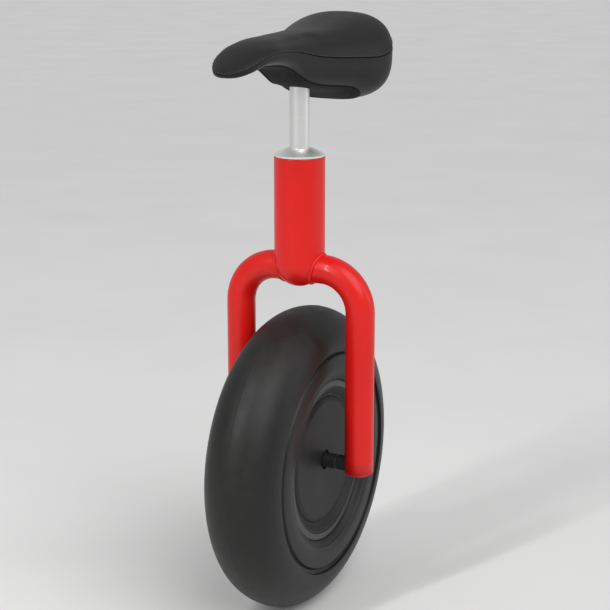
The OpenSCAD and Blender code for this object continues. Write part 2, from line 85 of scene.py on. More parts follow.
def put(
    tree: bpy.types.NodeTree,
    kind: str,
    feeds: Mapping[str | int, object] | None = None,
    **settings: object,
) -> bpy.types.Node:
    """Add a shader node with its settings, values and links.

    Args:
        tree: The node tree to add to.
        kind: The node's type, without the word ShaderNode.
        feeds: Values or output sockets for the inputs, by name or number.
        settings: The node's own options.

    Returns:
        The new node.
    """
    node = tree.nodes.new("ShaderNode" + kind)
    for name, value in settings.items():
        setattr(node, name, value)
    for key, value in (feeds or {}).items():
        if isinstance(value, bpy.types.NodeSocket):
            tree.links.new(value, node.inputs[key])
        else:
            node.inputs[key].default_value = value
    return node


# ---------------------------------------------------------------- finishes


class Pattern(Enum):
    """How one layer of a finish lies over the surface."""

    CLOUD = "soft irregular patches"
    CELLS = "rounded cells parted by creases"
    BRUSH = "fine lines round the upright axis"
    RINGS = "turned lines about the upright axis"
    TREAD = "patches that come in only near the wheel's outside"


@dataclass(frozen=True)
class Layer:
    """One layer of fine pattern in a finish.

    Attributes:
        pattern: How the layer lies over the surface.
        size: Width of one mark, in millimetres.
        relief: Height of a mark, in millimetres.
        tone: Share of the shade colour that a full mark brings in.
        matt: Roughness that a full mark adds.
    """

    pattern: Pattern
    size: float
    relief: float = 0.0
    tone: float = 0.0
    matt: float = 0.0

    def value(self, tree: bpy.types.NodeTree) -> bpy.types.NodeSocket:
        """Lay the pattern out in a node tree.

        Args:
            tree: The material's node tree.

        Returns:
            A socket that runs from 0 to 1 over the pattern.
        """
        place = put(tree, "TexCoord").outputs["Object"]
        scale = 1 / (self.size * MM)
        if self.pattern is Pattern.BRUSH:
            fine = (scale * 0.02, scale * 0.02, scale)
            lines = put(tree, "VectorMath", {0: place, 1: fine}, operation="MULTIPLY")
            return self.cloud(tree, lines.outputs[0], 1.0)
        if self.pattern is Pattern.RINGS:
            flat = put(tree, "VectorMath", {0: place, 1: (1, 1, 0)}, operation="MULTIPLY")
            out = put(tree, "VectorMath", {0: flat.outputs[0]}, operation="LENGTH").outputs["Value"]
            return self.cloud(tree, put(tree, "CombineXYZ", {"X": out}).outputs[0], scale)
        if self.pattern is Pattern.CELLS:
            cells = {"Vector": place, "Scale": scale}
            edge = put(tree, "TexVoronoi", cells, feature="DISTANCE_TO_EDGE")
            ramp = {"Value": edge.outputs["Distance"], "From Min": 0.02, "From Max": 0.30}
            return put(tree, "MapRange", ramp, interpolation_type="SMOOTHSTEP").outputs["Result"]
        cloud = self.cloud(tree, place, scale)
        if self.pattern is Pattern.CLOUD:
            return cloud
        hub = (0, 0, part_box("axle")[0].z + AXLE_R * MM)
        arm = put(tree, "VectorMath", {0: place, 1: hub}, operation="SUBTRACT").outputs[0]
        flat = put(tree, "VectorMath", {0: arm, 1: (1, 0, 1)}, operation="MULTIPLY").outputs[0]
        out = put(tree, "VectorMath", {0: flat}, operation="LENGTH").outputs["Value"]
        ramp = {"Value": out, "From Min": TREAD_FROM, "From Max": TREAD_TO}
        near = put(tree, "MapRange", ramp, interpolation_type="SMOOTHSTEP").outputs["Result"]
        return put(tree, "Math", {0: near, 1: cloud}, operation="MULTIPLY").outputs[0]

    @staticmethod
    def cloud(
        tree: bpy.types.NodeTree, place: bpy.types.NodeSocket, scale: float,
    ) -> bpy.types.NodeSocket:
        """Lay out soft noise, stretched to run from 0 to 1.

        Args:
            tree: The material's node tree.
            place: Where on the piece a point is.
            scale: Marks for each metre.

        Returns:
            The noise's socket.
        """
        grain = {"Vector": place, "Scale": scale, "Detail": 3.0, "Roughness": 0.55}
        noise = put(tree, "TexNoise", grain)
        ramp = {"Value": noise.outputs["Fac"], "From Min": 0.3, "From Max": 0.7}
        return put(tree, "MapRange", ramp).outputs["Result"]


@dataclass(frozen=True)
class Finish:
    """A real material with its colours, gloss and layers of fine pattern.

    Attributes:
        name: What the material is.
        slot: The record's material slot it belongs to; not used.
        base: Main colour.
        shade: Colour that the layers bring in.
        roughness: Roughness before the layers.
        layers: The fine patterns.
        metallic: 1 for bare metal.
        ior: Index of refraction, for anything but metal.
        gleam: Specular level, under 0.5 for a dusty or porous skin.
        coat: Strength of a clear gloss coat.
        coat_roughness: Roughness of that coat.
        sheen: Strength of the soft edge light of cloth and rubber bloom.
        anisotropy: How far highlights stretch across brushed lines.
    """

    name: str
    slot: str
    base: str
    shade: str
    roughness: float
    layers: tuple[Layer, ...]
    metallic: float = 0.0
    ior: float = 1.5
    gleam: float = 0.5
    coat: float = 0.0
    coat_roughness: float = 0.05
    sheen: float = 0.0
    anisotropy: float = 0.0

    def material(self) -> bpy.types.Material:
        """Build the material, or give back the one that was built before.

        Tone is the clamped sum of the layers' tones and mixes base into shade. Roughness is the
        base roughness plus each layer's share. Relief is a chain of bumps, one for each layer.

        Returns:
            The material.
        """
        if self.name in BUILT:
            return BUILT[self.name]
        made = BUILT[self.name] = bpy.data.materials.new(self.name)
        made.use_nodes = True
        tree = made.node_tree
        tree.nodes.clear()
        tone, rough, normal = None, None, None
        for layer in self.layers:
            mark = layer.value(tree)
            if layer.tone:
                feeds = {0: mark, 1: layer.tone, 2: tone if tone is not None else 0.0}
                tone = put(tree, "Math", feeds, operation="MULTIPLY_ADD").outputs[0]
            if layer.matt:
                feeds = {0: mark, 1: layer.matt, 2: rough if rough is not None else self.roughness}
                rough = put(tree, "Math", feeds, operation="MULTIPLY_ADD").outputs[0]
            if layer.relief:
                feeds = {"Height": mark, "Distance": layer.relief * MM, "Strength": 1.0}
                if normal is not None:
                    feeds["Normal"] = normal
                normal = put(tree, "Bump", feeds).outputs["Normal"]
        surface = {
            "Base Color": linear(self.base),
            "Roughness": rough if rough is not None else self.roughness,
            "Metallic": self.metallic,
            "Coat Weight": self.coat,
            "Coat Roughness": self.coat_roughness,
            "Sheen Weight": self.sheen,
            "Anisotropic": self.anisotropy,
        }
        if not self.metallic:
            surface["IOR"] = self.ior
            surface["Specular IOR Level"] = self.gleam
        if tone is not None:
            feeds = {0: tone, 6: linear(self.base), 7: linear(self.shade)}
            mix = put(tree, "Mix", feeds, data_type="RGBA", clamp_factor=True)
            surface["Base Color"] = mix.outputs[2]
        if normal is not None:
            surface["Normal"] = normal
        shader = put(tree, "BsdfPrincipled", surface)
        put(tree, "OutputMaterial", {"Surface": shader.outputs[0]})
        return made


# Sprayed and baked enamel: a wet-looking red with faint orange peel in its clear gloss.
RED_ENAMEL = Finish("gloss_red_enamel", "red_enamel", "#D6150F", "#BF0F0A", 0.34, (
    Layer(Pattern.CLOUD, 70, tone=0.35),
    Layer(Pattern.CLOUD, 2.2, relief=0.012, matt=0.05),
), gleam=0.3, coat=0.12, coat_roughness=0.1)
# Moulded tyre rubber: near black and satin, with a fine mould texture and road dust on the tread.
TYRE_RUBBER = Finish("moulded_tyre_rubber", "tyre_rubber", "#161617", "#262520", 0.37, (
    Layer(Pattern.CLOUD, 90, tone=0.18, matt=0.06),
    Layer(Pattern.TREAD, 14, tone=0.40, matt=0.12),
    Layer(Pattern.CLOUD, 0.9, relief=0.05, matt=0.05),
), gleam=0.33)
# Butyl inner tube: duller and smoother than the tyre.
TUBE_RUBBER = Finish("butyl_rubber", "tyre_rubber", "#1E1E1F", "#2B2B2C", 0.6, (
    Layer(Pattern.CLOUD, 20, tone=0.5, matt=0.1),
    Layer(Pattern.CLOUD, 0.5, relief=0.01),
), ior=1.52)
# Seal rubber: small black lips with a satin skin.
SEAL_RUBBER = Finish("nitrile_rubber", "seal_rubber", "#191919", "#232323", 0.5, (
    Layer(Pattern.CLOUD, 4, tone=0.6, matt=0.1),
    Layer(Pattern.CLOUD, 0.3, relief=0.01),
), ior=1.52)
# Black stove enamel on pressed steel: even satin black with small runs in its gloss.
RIM_PAINT = Finish("black_stove_enamel", "rim_paint", "#18181A", "#212122", 0.38, (
    Layer(Pattern.CLOUD, 40, tone=0.5, matt=0.08),
    Layer(Pattern.CLOUD, 1.6, relief=0.01),
), coat=0.25, coat_roughness=0.15)
# Injection-moulded ABS with a spark-eroded grain: charcoal, even, with soft wide highlights.
COVER_PLASTIC = Finish("grained_abs", "cover_plastic", "#202021", "#19191A", 0.44, (
    Layer(Pattern.CLOUD, 60, tone=0.4, matt=0.06),
    Layer(Pattern.CLOUD, 0.7, relief=0.018, matt=0.06),
), gleam=0.3)
# Black polypropylene mouldings under the saddle: duller, with a waxy highlight.
BASE_PLASTIC = Finish("black_polypropylene", "base_plastic", "#141415", "#1C1C1D", 0.68, (
    Layer(Pattern.CLOUD, 45, tone=0.5, matt=0.08),
    Layer(Pattern.CLOUD, 0.8, relief=0.03, matt=0.05),
), ior=1.49, gleam=0.15)
# Expanded vinyl on cloth: near black with small leather-like cells and a low, waxy shine.
SADDLE_VINYL = Finish("grained_vinyl", "saddle_vinyl", "#141415", "#1E1E1F", 0.40, (
    Layer(Pattern.CLOUD, 55, tone=0.35, matt=0.08),
    Layer(Pattern.CELLS, 1.9, relief=0.07, matt=-0.07),
    Layer(Pattern.CLOUD, 0.6, relief=0.02),
), gleam=0.28)
# Bonded nylon thread: tight, slightly shiny, a touch lighter than the vinyl.
THREAD = Finish("bonded_thread", "saddle_vinyl", "#2E2E30", "#1D1D1E", 0.55, (
    Layer(Pattern.CLOUD, 0.5, relief=0.06, tone=0.7),
), sheen=0.2)
# Drawn steel tube, brushed and satin nickelled: pale silver with fine lines round the tube.
SATIN_STEEL = Finish("satin_nickel_tube", "satin_silver", "#EDEDEC", "#D6D6D6", 0.34, (
    Layer(Pattern.CLOUD, 35, tone=0.25, matt=0.06),
    Layer(Pattern.BRUSH, 0.5, relief=0.006, tone=0.22, matt=0.12),
), metallic=1.0, anisotropy=0.35)
# Turned aluminium: bright, with lathe rings that draw the highlight out into a fan.
TURNED_ALLOY = Finish("turned_aluminium", "satin_silver", "#F0F0EF", "#DADADA", 0.44, (
    Layer(Pattern.CLOUD, 25, tone=0.25, matt=0.05),
    Layer(Pattern.RINGS, 0.6, relief=0.008, tone=0.2, matt=0.12),
), metallic=1.0, anisotropy=0.4)
# Bright zinc plate: cool grey with a faint blotchy bloom.
ZINC = Finish("zinc_plate", "zinc_steel", "#B9BCC0", "#94989C", 0.32, (
    Layer(Pattern.CLOUD, 9, tone=0.5, matt=0.16),
    Layer(Pattern.CLOUD, 0.5, relief=0.006),
), metallic=1.0)
# Black oxide on machined steel: dark grey, oily satin.
BLACK_OXIDE = Finish("black_oxide_steel", "black_steel", "#4A4A4D", "#38383B", 0.42, (
    Layer(Pattern.CLOUD, 12, tone=0.5, matt=0.12),
    Layer(Pattern.CLOUD, 0.4, relief=0.006),
), metallic=0.85)
# Ground and hardened bearing steel: mirror bright with a trace of fine grinding.
BEARING_STEEL = Finish("ground_bearing_steel", "bearing_steel", "#C9CBCD", "#AEB1B4", 0.16, (
    Layer(Pattern.CLOUD, 6, tone=0.4, matt=0.1),
    Layer(Pattern.CLOUD, 0.3, relief=0.002),
), metallic=1.0)
# Machined brass: warm yellow, dulled in patches.
BRASS = Finish("machined_brass", "brass", "#C9A452", "#9C7B37", 0.28, (
    Layer(Pattern.CLOUD, 7, tone=0.5, matt=0.15),
    Layer(Pattern.RINGS, 0.4, relief=0.005),
), metallic=1.0)
# Natural nylon: milky white with a waxy surface.
NYLON = Finish("natural_nylon", "nylon", "#DAD6C8", "#C8C2B0", 0.42, (
    Layer(Pattern.CLOUD, 10, tone=0.5, matt=0.1),
    Layer(Pattern.CLOUD, 0.6, relief=0.01),
))
# Painted studio floor: pale, matt and almost even.
FLOOR_PAINT = Finish("pale_floor_paint", "", "#DEDEDD", "#D4D4D3", 0.7, (
    Layer(Pattern.CLOUD, 400, tone=0.5, matt=0.06),
    Layer(Pattern.CLOUD, 3, relief=0.03),
))


# ---------------------------------------------------------------- mesh helpers


class Spin(Enum):
    """The line that a profile is turned about."""

    UPRIGHT = "a line along Z"
    AXLE = "a line along Y"


def rounded(corners: Sequence[tuple[float, float, float]], steps: int = 5) -> Array:
    """Round the corners of a closed outline.

    At each corner the two straight sides meet an arc that touches both. The arc's ends lie at
    radius over the tangent of half the corner's angle, and its points are swung about its centre
    by equal angles. A point on the straight just outside each end keeps flat faces flat.

    Args:
        corners: Rows of x, y and corner radius, once round.
        steps: Number of steps along each arc.

    Returns:
        The outline's points, once round.
    """
    rows = np.array(corners, float)
    spot, radius = rows[:, :2], rows[:, 2:]
    back = np.roll(spot, 1, axis=0) - spot
    ahead = np.roll(spot, -1, axis=0) - spot
    back_len = np.linalg.norm(back, axis=1, keepdims=True)
    ahead_len = np.linalg.norm(ahead, axis=1, keepdims=True)
    back, ahead = back / back_len, ahead / ahead_len
    half = np.arccos(np.clip(np.sum(back * ahead, axis=1, keepdims=True), -1, 1)) / 2
    reach = radius / np.tan(half)
    bisector = back + ahead
    bisector /= np.maximum(np.linalg.norm(bisector, axis=1, keepdims=True), 1e-9)
    centre = spot + bisector * radius / np.sin(half)
    first, last = spot + back * reach - centre, spot + ahead * reach - centre
    swing = np.pi - 2 * half
    share = np.linspace(0, 1, steps + 1).reshape(1, -1, 1)
    sine = np.maximum(np.sin(swing), 1e-9)[:, :, None]
    arc = (np.sin((1 - share) * swing[:, :, None]) * first[:, None]
           + np.sin(share * swing[:, :, None]) * last[:, None]) / sine + centre[:, None]
    spare_back = back_len - reach - np.roll(reach, 1, axis=0)
    spare_ahead = ahead_len - reach - np.roll(reach, -1, axis=0)
    before = spot + back * (reach + np.clip(spare_back * 0.3, 0, 0.25 * radius + 0.05))
    after = spot + ahead * (reach + np.clip(spare_ahead * 0.3, 0, 0.25 * radius + 0.05))
    outline = np.concatenate([before[:, None], arc, after[:, None]], axis=1).reshape(-1, 2)
    gap = np.linalg.norm(outline - np.roll(outline, 1, axis=0), axis=1)
    return outline[gap > 1e-4]


def turned(profile: Array, spin: Spin, around: tuple[float, float], count: int) -> Array:
    """Turn a profile into rows of rings.

    A ring's points stand at equal angles: radius times the cosine and the sine across the axis,
    and the profile's second column along it.

    Args:
        profile: Rows of radius and distance along the axis.
        spin: The line to turn about.
        around: Where that line stands: X and Y for an upright, X and Z for an axle.
        count: Points in each ring.

    Returns:
        Points as profile rows by ring columns by three.
    """
    angle = np.linspace(0, 2 * np.pi, count, endpoint=False)
    first = around[0] + profile[:, :1] * np.cos(angle)
    second = around[1] + profile[:, :1] * np.sin(angle)
    along = np.broadcast_to(profile[:, 1:], first.shape)
    parts = (first, second, along) if spin is Spin.UPRIGHT else (first, along, second)
    return np.stack(parts, axis=-1)


class Shell:
    """Rows of points knitted into one closed surface, in millimetres."""

    def __init__(self) -> None:
        """Start with nothing."""
        self.points: list[Array] = []
        self.faces: list[list[int]] = []
        self.count = 0

    def add(self, points: Array) -> Array:
        """Store points.

        Args:
            points: Any array of points whose last axis is three.

        Returns:
            The points' numbers, in the same arrangement.
        """
        numbers = self.count + np.arange(points[..., 0].size).reshape(points.shape[:-1])
        self.points.append(points.reshape(-1, 3))
        self.count += numbers.size
        return numbers

    def knit(self, numbers: Array, round_rows: bool = False) -> None:
        """Join neighbouring rows and columns of numbers with quads.

        Args:
            numbers: Rows of point numbers; each row is a closed ring.
            round_rows: Whether the last row joins the first.
        """
        grid = np.concatenate([numbers, numbers[:1]]) if round_rows else numbers
        grid = np.concatenate([grid, grid[:, :1]], axis=1)
        quads = np.stack([grid[:-1, :-1], grid[:-1, 1:], grid[1:, 1:], grid[1:, :-1]], axis=-1)
        self.faces += quads.reshape(-1, 4).tolist()

    def fan(self, ring: Array, tip: Array) -> None:
        """Close a ring of numbers with triangles to a tip point."""
        top = np.full_like(ring, self.add(tip.reshape(1, 3))[0])
        self.faces += np.stack([ring, np.roll(ring, -1), top], axis=-1).tolist()

    def piece(
        self, name: str, body: str, finish: Finish, stands_for: Sequence[str] = (),
    ) -> bpy.types.Object:
        """Make the finished object, riding on its body.

        Args:
            name: The object's name.
            body: The body it moves with.
            finish: Its finish.
            stands_for: The nodes it replaces.

        Returns:
            The object, at the origin, with its place in its mesh and its faces outward.
        """
        mesh = bpy.data.meshes.new(name)
        mesh.from_pydata(np.concatenate(self.points) * MM, [], self.faces)
        work = bmesh.new()
        work.from_mesh(mesh)
        bmesh.ops.recalc_face_normals(work, faces=work.faces)
        work.to_mesh(mesh)
        work.free()
        mesh.shade_smooth()
        made = bpy.data.objects.new(name, mesh)
        bpy.context.scene.collection.objects.link(made)
        mesh.materials.append(finish.material())
        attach(made, body)
        if stands_for:
            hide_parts(*stands_for)
        LOG.info("%s: %d faces on %s", name, len(mesh.polygons), body)
        return made


def ring_solid(profile: Array, spin: Spin, around: tuple[float, float], count: int) -> Shell:
    """Turn a closed outline into a ring-shaped solid.

    Args:
        profile: Rows of radius and distance along the axis, once round.
        spin: The line to turn about.
        around: Where that line stands: X and Y for an upright, X and Z for an axle.
        count: Points in each ring.

    Returns:
        The solid's rows, knitted.
    """
    shell = Shell()
    shell.knit(shell.add(turned(profile, spin, around, count)), round_rows=True)
    return shell


def drill(
    piece: bpy.types.Object,
    spots: Sequence[Sequence[float]],
    radius: float,
    axis: Vector,
    depth: float,
) -> None:
    """Cut round holes through a piece.

    Args:
        piece: The piece to cut; its mesh is replaced by the cut one.
        spots: Middle of each hole, in millimetres.
        radius: Radius of the holes, in millimetres.
        axis: Direction of the holes.
        depth: Length of each cutter, in millimetres.
    """
    work = bmesh.new()
    turn = axis.to_track_quat("Z", "Y").to_matrix().to_4x4()
    for spot in spots:
        hole = bmesh.ops.create_cone(work, cap_ends=True, segments=CUTTER_SIDES,
                                     radius1=radius * MM, radius2=radius * MM,
                                     depth=depth * MM, matrix=turn)
        bmesh.ops.translate(work, verts=hole["verts"], vec=Vector(spot) * MM)
    cutter_mesh = bpy.data.meshes.new("cutter")
    work.to_mesh(cutter_mesh)
    work.free()
    cutter = bpy.data.objects.new("cutter", cutter_mesh)
    bpy.context.scene.collection.objects.link(cutter)
    cut = piece.modifiers.new("holes", "BOOLEAN")
    cut.object = cutter
    cut.operation = "DIFFERENCE"
    cut.solver = "EXACT"
    graph = bpy.context.evaluated_depsgraph_get()
    finished = bpy.data.meshes.new_from_object(piece.evaluated_get(graph))
    piece.modifiers.clear()
    old = piece.data
    piece.data = finished
    bpy.data.meshes.remove(old)
    bpy.data.objects.remove(cutter)
    finished.shade_smooth()
    finished.set_sharp_from_angle(angle=math.radians(SHARP_ANGLE))


def dress(finish: Finish, *nodes: str) -> None:
    """Give carried-over nodes a finish without touching their meshes.

    Args:
        finish: The finish they get.
        nodes: Their names.
    """
    for name in nodes:
        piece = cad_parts[name]
        if not piece.material_slots:
            piece.data.materials.append(finish.material())
        for holder in piece.material_slots:
            holder.link = "OBJECT"
            holder.material = finish.material()
        LOG.info("%s: %s", name, finish.name)


# ---------------------------------------------------------------- wheel


@dataclass(frozen=True)
class Wheel:
    """Fat tyre on a split pressed rim, with a moulded cover on each side.

    Attributes:
        axle_z: Height of the axle.
        tyre_r: Outside radius of the tyre.
        half_width: Half width of the tyre, and the radius of its crown.
        bulge_r: Radius at which the sidewall is widest.
        groove_r: Radius of the groove between tread and sidewall.
        groove_wide: Half width of that groove.
        groove_deep: Its depth.
        bead_r: Radius of the bead seat.
        lip_r: Radius of the rim's rolled lip.
        lip_y: Distance of the lip's inner face from the wheel's middle plane.
        disc_r: Radius of the raised disc on each cover.
        disc_y: Distance of that disc's face from the middle plane.
        bolt_circle: Radius of the circle of rim bolts.
        bolt_count: Number of rim bolts.
        valve_r: Distance of the valve from the axle.
        segments: Ring points of the large pieces.
    """

    axle_z: float = 203.0
    tyre_r: float = 203.0
    half_width: float = 52.0
    bulge_r: float = 128.0
    groove_r: float = 148.0
    groove_wide: float = 3.4
    groove_deep: float = 4.6
    bead_r: float = 101.6
    lip_r: float = 108.0
    lip_y: float = 40.0
    disc_r: float = 84.0
    disc_y: float = 38.2
    bolt_circle: float = 55.0
    bolt_count: int = 5
    valve_r: float = 94.0
    segments: int = 224

    def tread_side(self) -> Array:
        """Outer skin of the tyre from the crown's middle line to the rim's lip.

        The crown is an arc of the half width's own radius, down to the groove. The sidewall is a
        flat arc out to its widest radius and a tight arc in to the lip. The groove, a thin rib
        near the rim and the mould's parting line are then pushed along the skin's normal: each is
        its height times exp(-(distance / width) to a power).

        Returns:
            Rows of radius and Y for the left side.
        """
        crown_mid = self.tyre_r - self.half_width
        turn = np.concatenate([np.linspace(0, 0.03, 5), np.linspace(0.05, 1.44, 36)])
        crown = np.stack([np.cos(turn), np.sin(turn)], 1) * self.half_width + (crown_mid, 0)
        flat_arc, tight_arc = 81.25, 26.7
        high = np.linspace(crown[-1, 0] - 0.3, self.bulge_r, 46)
        start = np.sqrt(flat_arc ** 2 - (high - self.bulge_r) ** 2) + self.half_width - flat_arc
        meet = np.clip((high - self.groove_r + self.groove_wide) / (2 * self.groove_wide), 0, 1)
        start += (np.sqrt(self.half_width ** 2 - (high - crown_mid) ** 2) - start) * meet
        low = np.linspace(self.bulge_r - 1, self.lip_r + 0.6, 44)
        end = np.sqrt(tight_arc ** 2 - (low - self.bulge_r) ** 2) + self.half_width - tight_arc
        skin = np.concatenate([crown, np.stack([high, start], 1), np.stack([low, end], 1)])
        along = np.gradient(skin, axis=0)
        normal = np.stack([along[:, 1], -along[:, 0]], 1)
        normal /= np.linalg.norm(normal, axis=1, keepdims=True)
        crown_rows_in_groove = 14
        below = np.arange(len(skin)) >= len(crown) - crown_rows_in_groove
        groove = np.where(below, np.exp(-((skin[:, 0] - self.groove_r) / self.groove_wide) ** 4), 0)
        rib_r, rib_wide, rib_high = 117.0, 0.9, 0.7
        rib = np.where(below, np.exp(-((skin[:, 0] - rib_r) / rib_wide) ** 2), 0)
        parting_wide, parting_high = 0.6, 0.25
        parting = np.exp(-(skin[:, 1] / parting_wide) ** 2)
        push = rib_high * rib - self.groove_deep * groove + parting_high * parting * ~below
        return skin + normal * push[:, None]

    def build_tyre(self) -> None:
        """Make the tyre: outer skin, beads under the rim's lips and the inner wall, as one loop."""
        side = self.tread_side()
        lip, seat = self.lip_y - 0.1, self.bead_r + 0.05
        bead = np.array([
            [108.2, 43.0], [108.0, 41.0], [107.6, lip], [103.0, lip], [101.9, lip - 0.5],
            [seat, lip - 1.2], [seat, 33.0], [seat, 27.2], [102.3, 26.4], [104.0, 26.6],
        ])
        slope = np.linspace(0, 1, 10)[:, None]
        shoulder = np.array([[106.0, 29.0]]) * (1 - slope) + np.array([[113.0, 41.0]]) * slope
        turn = np.linspace(2.15, 0.0, 26)
        casing_thick, wall_from = 5.5, 127
        wall, crown_mid = self.half_width - casing_thick, self.tyre_r - self.half_width
        inner = np.stack([crown_mid + wall * np.cos(turn), wall * np.sin(turn)], 1)
        inner = np.concatenate([shoulder, [[119.5, 45.2]], inner[inner[:, 0] > wall_from]])
        left = np.concatenate([side, bead, inner])
        right = left[::-1][1:] * (1, -1)
        loop = np.concatenate([left, right])[:-1]
        tyre = ring_solid(loop, Spin.AXLE, (0, self.axle_z), self.segments)
        tyre.piece("tyre_casing", "wheel", TYRE_RUBBER, ["tyre"])

    def build_rim(self, side: int, name: str) -> None:
        """Make one half of the split rim, with its rolled lip and bolt holes.

        Args:
            side: 1 for the left half and -1 for the right half.
            name: The node it stands for.
        """
        thick, bolt_hole, valve_hole = 2.5, 4.3, 4.5
        seat = self.bead_r - thick
        outline = rounded([
            (22.05, 0, 0.3), (86, 0, 3), (self.bead_r, 12, 3), (self.bead_r, self.lip_y, 0.9),
            (self.lip_r, self.lip_y, 1.2), (self.lip_r, self.lip_y + thick, 1.2),
            (seat, self.lip_y + thick, 1.0), (seat, 13.2, 3), (84.8, thick, 3), (22.05, thick, 0.3),
        ])
        half = ring_solid(outline * (1, side), Spin.AXLE, (0, self.axle_z), 192)
        made = half.piece(name + "_shell", "wheel", RIM_PAINT, [name])
        angle = np.arange(self.bolt_count) * 2 * np.pi / self.bolt_count + np.pi / 2
        spots = np.stack([self.bolt_circle * np.cos(angle), np.full_like(angle, side * thick / 2),
                          self.axle_z + self.bolt_circle * np.sin(angle)], 1)
        drill(made, spots.tolist(), bolt_hole, ACROSS, 8)
        if side < 0:
            drill(made, [(0, -8, self.axle_z - self.valve_r)], valve_hole, ACROSS, 20)

    def build_cover(self, side: int, name: str) -> None:
        """Make one moulded cover: a raised disc with a soft shoulder inside a sunk ring.

        Args:
            side: 1 for the left cover and -1 for the right cover.
            name: The node it stands for.
        """
        disc, face, edge, valve_hole = self.disc_r, self.disc_y, self.bead_r - 2.55, 5.6
        outline = rounded([
            (13, face, 0.6), (disc - 4.5, face, 2.2), (disc, face - 1.9, 1.8),
            (disc + 2.2, 34.2, 1.0), (disc + 4.5, 34.2, 1.0),
            (96.6, 41.5, 0.7), (edge, 41.5, 0.5), (edge, 30, 0.3),
            (96.8, 30, 0.3), (96.8, 38.2, 0.5), (disc + 5.4, 31.7, 0.8), (disc + 0.8, 31.7, 0.8),
            (disc - 1.4, 34.2, 1.0), (disc - 4.9, 35.7, 1.0), (13, 35.7, 0.3),
        ])
        disc_shell = ring_solid(outline * (1, side), Spin.AXLE, (0, self.axle_z), self.segments)
        made = disc_shell.piece(name + "_moulding", "wheel", COVER_PLASTIC, [name])
        if side < 0:
            drill(made, [(0, -36, self.axle_z - self.valve_r)], valve_hole, ACROSS, 20)

    def dress(self) -> None:
        """Give the wheel's inner pieces their finishes."""
        dress(TUBE_RUBBER, "inner_tube")
        dress(BRASS, "valve_stem", "valve_insert")
        dress(RIM_PAINT, "hub_shell")
        dress(ZINC, "rim_bolts", "rim_washers", "rim_nuts")
        dress(BEARING_STEEL, "bearing_outer_left", "bearing_outer_right", "bearing_balls_left",
              "bearing_balls_right", "bearing_inner_left", "bearing_inner_right")
        dress(NYLON, "bearing_cage_left", "bearing_cage_right")
        dress(SEAL_RUBBER, "bearing_seals_left", "bearing_seals_right")

    def build(self) -> None:
        """Build every piece of the wheel."""
        self.build_tyre()
        for side, word in ((1, "left"), (-1, "right")):
            self.build_rim(side, f"rim_half_{word}")
            self.build_cover(side, f"hub_cover_{word}")
        self.dress()


# ---------------------------------------------------------------- fork


